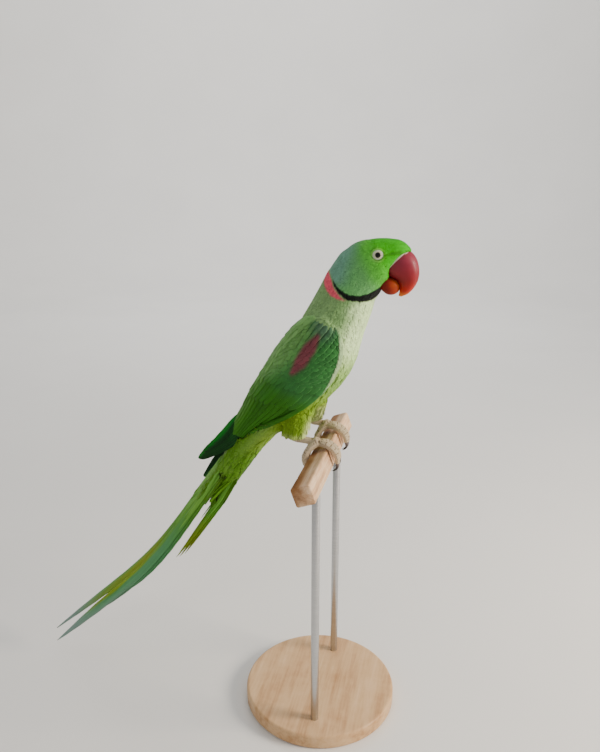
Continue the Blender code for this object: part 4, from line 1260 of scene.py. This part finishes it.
def loft_faces(rings, ends=True):
    """Outward faces over rings (ring, point, xyz): closed with a face on each end, or else
    with the last ring joined to the first."""
    rings = np.asarray(rings, float)
    count, points = rings.shape[:2]
    faces = []
    for r in range(count - ends):
        here, ahead = r * points, (r + 1) % count * points
        for c in range(points):
            d = (c + 1) % points
            faces.append((here + c, here + d, ahead + d, ahead + c))
    if ends:
        faces.append(tuple(range(points - 1, -1, -1)))
        faces.append(tuple(range((count - 1) * points, count * points)))
    wrong = inside_out(rings.reshape(1, -1, 3), faces)[0]
    return [face[::-1] for face in faces] if wrong else faces


def loft_piece(name, rings, made_of, replaced=()):
    """A closed piece over rings (ring, point, xyz), with a map of its lengths in millimetres."""
    rings = np.asarray(rings, float)
    piece = mesh_piece(name, rings, loft_faces(rings), made_of, replaced)
    count = rings.shape[1]
    around = np.abs(np.arange(count) / count * 2 - 1) * 12.0
    growth = np.stack(np.broadcast_arrays(around[None], run_along(rings.mean(1))[:, None]), -1)
    add_map(piece.data, "growth", growth.reshape(-1, 2))
    return piece


def egg_rings(rows, count, fullness, heavy):
    """Rings across the median plane: superellipses, widest below the middle if heavy > 0."""
    angle = turns(count)
    up = np.sign(np.cos(angle)) * np.abs(np.cos(angle)) ** (2 / fullness)
    out = np.sign(np.sin(angle)) * np.abs(np.sin(angle)) ** (2 / fullness)
    rows = np.asarray(rows)[:, None]
    x = (rows[..., 0] + rows[..., 2]) / 2 + (rows[..., 0] - rows[..., 2]) / 2 * up
    z = (rows[..., 1] + rows[..., 3]) / 2 + (rows[..., 1] - rows[..., 3]) / 2 * up
    return np.stack([x, rows[..., 4] * out * (1 - heavy * up), z], -1)


def build_bill(horn_upper, horn_lower, cere_skin):
    rows = catmull_rom(UPPER_BILL, 12)[8:]
    rings = egg_rings(rows, 56, fullness=2.1, heavy=-0.10)
    angle = turns(56)  # from the ridge, which has a faint keel
    keel = np.exp(-(np.minimum(angle, 2 * pi - angle) / 0.22) ** 2)
    middle = rings.mean(1, keepdims=True)
    rings = middle + (rings - middle) * (1 + 0.025 * keel[:, None])
    piece = loft_piece("bill_upper_horn", rings, horn_upper, ("bill_upper",))
    points = points_of(piece.data)
    x, z = points[:, 0], points[:, 2]
    height = (z - 400) + 0.6 * (x - 62)
    wear = value_noise(points, 3.5, 9)
    paint(piece.data, "tint", linear(layers(
        colour("86283a"),
        (colour("8c0f12"), smooth(418, 392, z)),
        (colour("5c0a12"), smooth(6, -3, height - 1.2 * wear) * smooth(74, 62, x)),
        (colour("ac1c06"), smooth(402, 393, z)),
        (colour("d07020"), smooth(393.5, 388.0, z - 0.5 * wear)),
        (colour("c0606c"), 0.3 * smooth(0.35, 1.0, wear) * smooth(70, 76, x)),
    )))
    rings = egg_rings(catmull_rom(LOWER_BILL, 12), 44, fullness=2.7, heavy=0.12)
    piece = loft_piece("bill_lower_horn", rings, horn_lower, ("bill_lower",))
    points = points_of(piece.data)
    x, z = points[:, 0], points[:, 2]
    wear = value_noise(points, 3.0, 12)
    paint(piece.data, "tint", linear(layers(
        colour("721000"),
        (colour("9c3200"), smooth(51, 60, x + 1.5 * wear)),
        (colour("6c0c08"), smooth(399, 403, z) * smooth(57, 52, x)),
        (colour("b65000"), 0.8 * smooth(393, 399, z) * smooth(53, 59, x + wear)),
    )))
    # the cere: a soft band over the root of the bill, with a nostril on each side of the ridge
    whole = egg_rings(catmull_rom(UPPER_BILL, 12)[:24], 72, fullness=2.1, heavy=-0.10)
    share = np.linspace(0, 1, 12)[:, None, None]
    sides = smooth(1, -0.2, np.cos(turns(72)))  # it narrows down the sides
    place = 5 + 11 * share[..., 0] * (1 - 0.5 * sides)
    back, part = place.astype(int), (place % 1)[..., None]
    column = np.arange(72)[None]
    rings = whole[back, column] * (1 - part) + whole[back + 1, column] * part
    upward = np.clip((rings[..., 2:3] - 404) / 18, 0, 1)
    swell = 0.55 * np.sin(pi * np.minimum(share * 1.15 + 0.18, 1)) ** 0.6
    swell = swell * upward - 0.25 * (1 - upward)
    outward = unit(rings - rings.mean(1, keepdims=True))
    rings = rings + outward * swell
    for sign in SIDES.values():
        nostril = np.array([65.9, sign * 4.3, 423.4])
        gap = np.linalg.norm(rings - nostril, axis=-1, keepdims=True)
        rings = rings - outward * (np.exp(-(gap / 0.8) ** 2)
                                   - 0.25 * np.exp(-((gap - 1.5) / 0.5) ** 2))
    loft_piece("cere_skin", rings, cere_skin, ("cere",))


def frame_round(axis):
    """Two directions square to an axis: forward and up."""
    forward = unit(np.array([1.0, 0, 0]) - axis * axis[0])
    return forward, np.cross(forward, axis) * (1 if np.cross(forward, axis)[2] > 0 else -1)


def build_eye(side, wet, lid_skin, down):
    centre, seat = EYES[side]
    axis, radius = EYE_AXES[side], EYE_BALL
    centre = centre + axis * (seat - radius - EYE_SUNK)
    forward, up = frame_round(axis)

    def spoke(turn):
        return forward * np.cos(turn) + up * np.sin(turn)

    rings, iris = [], []
    for lean in np.radians(np.linspace(1.0, 112, 34)):
        bulge = radius - 0.12 + 0.22 * np.exp(-(lean / radians(26)) ** 2)
        rings.append(centre + axis * bulge * cos(lean)
                     + bulge * sin(lean) * spoke(turns(48)[:, None]))
        reach = min(sin(lean), 1.0) * radius / 4.7 if lean < pi / 2 else 1.0
        iris += [(turn / (2 * pi), reach) for turn in turns(48)]
    piece = loft_piece(f"eyeball_{side}", rings, wet, (f"eye_{side}",))
    add_map(piece.data, "iris", iris)
    # the lid's rim and a wider ring of bare skin round it, then down that closes the socket
    for name, ring_radius, thick, flat in (("lid", 2.95, 0.34, 0.9), ("eye_ring", 3.42, 0.5, 0.6),
                                           ("eye_socket", 4.5, 0.95, 0.6)):
        tube = turns(14)[:, None]
        rings = []
        for turn in turns(72):
            wrinkle = 1 + 0.10 * sin(19 * turn) + 0.06 * sin(31 * turn + 1)
            stretch = ring_radius * (1 + 0.045 * cos(2 * turn))
            depth = np.sqrt(max(radius**2 - stretch**2, 2.0)) + 0.12
            rings.append(centre + axis * depth + spoke(turn) * stretch + thick * wrinkle
                         * (spoke(turn) * np.cos(tube) + flat * axis * np.sin(tube)))
        points, faces = np.concatenate(rings), loft_faces(rings, ends=False)
        if name == "eye_socket":
            piece = mesh_piece(f"{name}_{side}", points, faces, down)
            paint(piece.data, "plumage", linear(body_colour(points)))
        else:
            mesh_piece(f"{name}_{side}", points, faces, lid_skin)


# ---- feet

perch_low, perch_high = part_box("perch")
PERCH_MIDDLE = np.array((perch_low + perch_high) / 2) / MM


def grip_point(angle_deg, out, radius):
    """A point round the perch's axis, at an angle above +X."""
    angle = radians(angle_deg)
    return np.array([PERCH_MIDDLE[0] + radius * cos(angle), out,
                     PERCH_MIDDLE[2] + radius * sin(angle)])


def toe_lines(side):
    """Each toe's middle line, from its root to where the claw starts."""
    mirrored = np.array([1, SIDES[side], 1])
    lines = {}
    for toe, (start, end, reach) in TOES.items():
        lines[toe] = np.array([
            grip_point(start + (end - start) * share,
                       LEG_OUT + reach * (0.3 + 0.7 * min(1.0, share * 2)),
                       GRIP_RADIUS + 1.9 * (1 - share)) * mirrored
            for share in np.linspace(0, 1, 40)
        ])
    return lines


def build_foot(side, foot_skin):
    """One foot: its toes and shank as one skin, with ring scales over the toes' tops."""
    mesh = rounded_mesh(f"foot_{side}_skin", [f"foot_{side}"], voxel=0.42, rounds=4)
    points, normals = points_of(mesh), normals_of(mesh)
    groove = np.zeros(len(points))
    best = np.full(len(points), 1e9)
    push = np.zeros(len(points))
    for k, line in enumerate(toe_lines(side).values()):
        along = run_along(line)
        gaps = np.linalg.norm(points[:, None] - line[None], axis=-1)
        near = gaps.argmin(1)
        gap = gaps[np.arange(len(points)), near]
        mine = gap < best
        best = np.where(mine, gap, best)
        outward = unit((line[near] - PERCH_MIDDLE) * [1, 0, 1])
        top = smooth(-0.1, 0.5, (normals * outward).sum(1))
        place = along[near] + 0.25 * value_noise(points, 1.5, 20 + k)
        cycle = np.abs((place / 1.9) % 1.0 - 0.5) * 2
        cut = smooth(0.74, 0.98, cycle) * top
        groove = np.where(mine, cut, groove)
        swell = 0.16 * np.sqrt(np.clip(1 - cycle**2, 0, 1)) * top
        push = np.where(mine, swell - 0.16 * cut, push)
    fine = value_noise(points, 0.9, 31) * 0.07 + value_noise(points, 2.2, 32) * 0.10
    on_toe = smooth(7.0, 4.5, best)
    shank = smooth(0.74, 0.98, np.abs((points[:, 0] / 2.1) % 1.0 - 0.5) * 2) * smooth(
        0.2, 0.7, normals[:, 2])
    groove = groove * on_toe + shank * (1 - on_toe)
    push = push * on_toe - 0.14 * shank * (1 - on_toe)
    move_points(mesh, points + normals * (0.12 + push + fine)[:, None])
    mesh.shade_smooth()
    piece = as_piece(f"foot_{side}_scaled", mesh, foot_skin, (f"foot_{side}",))
    attribute = mesh.attributes.new("groove", "FLOAT", "POINT")
    attribute.data.foreach_set("value", groove.astype(np.float32))
    return piece


def build_claws(side, horn):
    mirrored = np.array([1, SIDES[side], 1])
    for toe, (start, end, reach) in TOES.items():
        turn = np.sign(end - start)
        line, radii = [], []
        for share in np.linspace(-0.12, 1, 26):
            sweep = np.degrees((0.35 + CLAW_LENGTH * share) / GRIP_RADIUS) * turn
            held = max(share, 0)
            radius = GRIP_RADIUS + 1.0 * sin(pi * held) - 1.6 * held**2
            line.append(grip_point(end + sweep, LEG_OUT + reach, radius) * mirrored)
            radii.append(max(CLAW_RADIUS * (1 - held) ** 0.75, 0.16))
        line, radii = np.array(line), np.array(radii)
        ahead = unit(np.gradient(line, axis=0))
        across = np.array([0, 1.0, 0])
        over = unit(np.cross(ahead, across))
        angles = turns(20)[:, None]
        rings = (line[:, None] + across * (np.cos(angles) * 0.86) * radii[:, None, None]
                 + over[:, None] * np.sin(angles) * radii[:, None, None])
        name = f"claw_{side}_{toe}"
        piece = loft_piece(f"{name}_horn", rings, horn, (name,))
        share = np.repeat(np.linspace(0, 1, 26), 20)
        tone = mix(colour("6a5c56"), colour("231d1c"), smooth(0.0, 0.8, share))
        paint(piece.data, "tint", linear(tone))


# ---- perch and stand


def build_perch(wood):
    """A cut length of sawn square stick, its corners worn round and dented by use."""
    low, high = perch_low.y / MM, perch_high.y / MM
    half, rounding = PERCH_SIDE / 2, PERCH_ROUNDING
    corner = np.radians(np.linspace(0, 90, 7))
    section = []
    for k in range(4):
        turn = radians(90 * k)
        flat = np.linspace(-(half - rounding), half - rounding, 9)[1:-1]
        arc = np.stack([half - rounding + rounding * np.cos(corner),
                        half - rounding + rounding * np.sin(corner)], 1)
        face = np.stack([flat[::-1], np.full(len(flat), half)], 1)
        both = np.concatenate([arc, face])
        section.append(both @ np.array([[cos(turn), sin(turn)], [-sin(turn), cos(turn)]]))
    section = np.concatenate(section)
    ends = np.array([0, 0.35, 0.9])
    along = np.concatenate([low + ends, np.linspace(low + 2, high - 2, 150), (high - ends)[::-1]])
    shrink = np.interp(along, [low, low + 0.35, low + 0.9, high - 0.9, high - 0.35, high],
                       [0.93, 0.975, 1, 1, 0.975, 0.93])
    rings = []
    for y, scale in zip(along, shrink):
        flat = section * scale
        ring = np.stack([flat[:, 0] * cos(PERCH_TURN) + flat[:, 1] * sin(PERCH_TURN),
                         np.full(len(flat), y),
                         -flat[:, 0] * sin(PERCH_TURN) + flat[:, 1] * cos(PERCH_TURN)], 1)
        rings.append(ring + PERCH_MIDDLE * [1, 0, 1])
    rings = np.array(rings)
    middle = rings.mean(1, keepdims=True)
    outward = unit((rings - middle) * [1, 0, 1])
    reach = np.linalg.norm((rings - middle) * [1, 0, 1], axis=-1)
    on_corner = smooth(half * 1.12, half * 1.3, reach)
    dents = np.clip(value_noise(rings, 5.0, 41) - 0.35, 0, 1) * on_corner
    worn = 0.10 * value_noise(rings, 12.0, 42) + 0.05 * value_noise(rings, 2.0, 43)
    rings = rings + outward * (worn - 1.3 * dents)[..., None]
    piece = loft_piece("perch_stick", rings, wood, ("perch",))
    # painted shade: the faces turned away from +X, where the key light stands, are painted a
    # darker brown
    painted_shade = smooth(-0.1, -0.75, outward[..., 0]) * (0.8 + 0.2 * value_noise(rings, 9.0, 44))
    tint = mix(np.ones(3), colour("a38054"), painted_shade)
    paint(piece.data, "tint", linear(tint.reshape(-1, 3)))


def turned_piece(name, node, profile, count, made_of):
    """A piece turned on a lathe: profile (radius, height), standing where its CAD node is."""
    low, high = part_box(node)
    middle = np.array([(low.x + high.x) / 2, (low.y + high.y) / 2, 0]) / MM
    angle = turns(count)
    circle = np.stack([np.cos(angle), np.sin(angle), np.zeros(count)], 1)
    rings = [middle + circle * radius + [0, 0, height] for radius, height in profile]
    piece = loft_piece(name, rings, made_of, (node,))
    paint(piece.data, "tint", np.ones((len(piece.data.vertices), 3)))


def rounded_profile(radius, low, high, edge, steps=5):
    """A plain disc or rod's profile with rounded rims."""
    turn = np.radians(np.linspace(0, 90, steps))
    bottom = [(radius - edge + edge * sin(a), low + edge - edge * cos(a)) for a in turn]
    top = [(radius - edge + edge * cos(a), high - edge + edge * sin(a)) for a in turn]
    return [(radius - edge - 0.6, low), *bottom, *top, (radius - edge - 0.6, high)]


def build_stand(beech, steel):
    low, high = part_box("stand_base")
    radius, top = (high.x - low.x) / 2 / MM, high.z / MM
    profile = rounded_profile(radius, 0.0, top, 2.4)
    turned_piece("stand_disc", "stand_base", profile, 192, beech)
    for place in ("near", "far"):
        node = f"stand_rod_{place}"
        low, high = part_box(node)
        profile = rounded_profile((high.x - low.x) / 2 / MM, low.z / MM, high.z / MM, 0.5, 4)
        turned_piece(f"stand_pin_{place}", node, profile, 48, steel)


# ---- studio


def build_studio():
    """A round pale floor whose far rim sweeps up, so that no edge shows behind the bird."""
    sweep = np.radians(np.linspace(0, 90, 17))
    profile = [(0.001, 0.0), (1.0, 0.0), (2.6, 0.0)]
    profile += [(2.6 + 1.2 * sin(a), 1.2 - 1.2 * cos(a)) for a in sweep[1:]] + [(3.8, 1.9)]
    rings = np.array([[(r * cos(a), r * sin(a), z) for a in turns(128)] for r, z in profile])
    mesh = bpy.data.meshes.new("floor")
    mesh.from_pydata(rings.reshape(-1, 3), [], loft_faces(rings)[:-2])
    mesh.flip_normals()
    mesh.shade_smooth()
    floor = placed("floor", mesh)
    mesh.materials.append(floor_finish())
    world = bpy.data.worlds.new("studio_air")
    world.use_nodes = True
    world.node_tree.nodes["Background"].inputs["Color"].default_value = rgba("f4f5f6")
    world.node_tree.nodes["Background"].inputs["Strength"].default_value = 0.5
    bpy.context.scene.world = world
    for name, place, aim, size, watts, tone in (
        ("key", (1.15, 0.0, 0.68), (0, 0, 0.32), 0.5, 23.0, "fff3e2"),
        ("top", (0.15, 0.15, 1.5), (-0.03, 0, 0.28), 0.9, 4.0, "ffffff"),
        ("fill", (-0.45, -1.3, 0.95), (-0.05, 0, 0.28), 0.5, 2.4, "f2f6ff"),
        ("backdrop", (-0.4, 1.6, 2.3), (-0.7, 3.4, 0.5), 1.6, 60.0, "ffffff"),
    ):
        lamp = bpy.data.lights.new(name, "AREA")
        lamp.shape, lamp.size, lamp.energy = "DISK", size, watts
        lamp.color = tuple(linear(tone))
        holder = placed(name, lamp)
        holder.location = place
        holder.rotation_euler = (Vector(aim) - Vector(place)).to_track_quat("-Z", "Y").to_euler()


def build_camera():
    lens = bpy.data.cameras.new("camera")
    lens.lens, lens.sensor_width = 32.07, 36.0
    lens.clip_start, lens.clip_end = 0.01, 50
    camera = placed("camera", lens)
    camera.location = (0.105, -0.535, 0.469)
    camera.rotation_euler = (radians(74.5), 0, radians(13.1))
    bpy.context.scene.camera = camera


def main():
    small_vane = plumage_finish("contour_feather", barb_mm=0.7, roughness=0.68, sheen=0.02,
                                shaft_dark=0.03, barb_depth=0.12, depth_mm=0.06)
    long_vane = plumage_finish("flight_feather", barb_mm=0.9, roughness=0.6, sheen=0.0,
                               shaft_dark=0.08, barb_depth=0.12, depth_mm=0.09)
    down = down_finish()
    build_coat(build_skin(down), small_vane)
    for side in SIDES:
        build_wing(side, small_vane, long_vane)
    build_tail(long_vane)
    build_long_coverts(long_vane)
    build_bill(horn_finish("bill_horn_upper", growth_mm=1.6, roughness=0.46, coat=0.05),
               horn_finish("bill_horn_lower", growth_mm=1.6, roughness=0.6, coat=0.03),
               bare_skin_finish("cere_skin", "b9a894", "e9dfd0", wrinkle_mm=0.7, subsurface=0.25))
    wet = eye_finish()
    lid_skin = bare_skin_finish("lid_skin", "b4b898", "e2e6cc", wrinkle_mm=0.5, subsurface=0.15)
    foot_skin = foot_skin_finish()
    claw_horn = horn_finish("claw_horn", growth_mm=0.8, roughness=0.4, coat=0.2)
    for side in SIDES:
        build_eye(side, wet, lid_skin, down)
        build_foot(side, foot_skin)
        build_claws(side, claw_horn)
    build_perch(wood_finish("sawn_perch_wood", "8a6240", "cca47e", "ebcfac", grain_mm=1.3,
                            roughness=0.72, depth_mm=0.12))
    build_stand(wood_finish("oiled_beech", "a8794c", "cda578", "dcb98e", grain_mm=2.2,
                            roughness=0.42, depth_mm=0.04), steel_finish())
    build_studio()
    build_camera()


main()
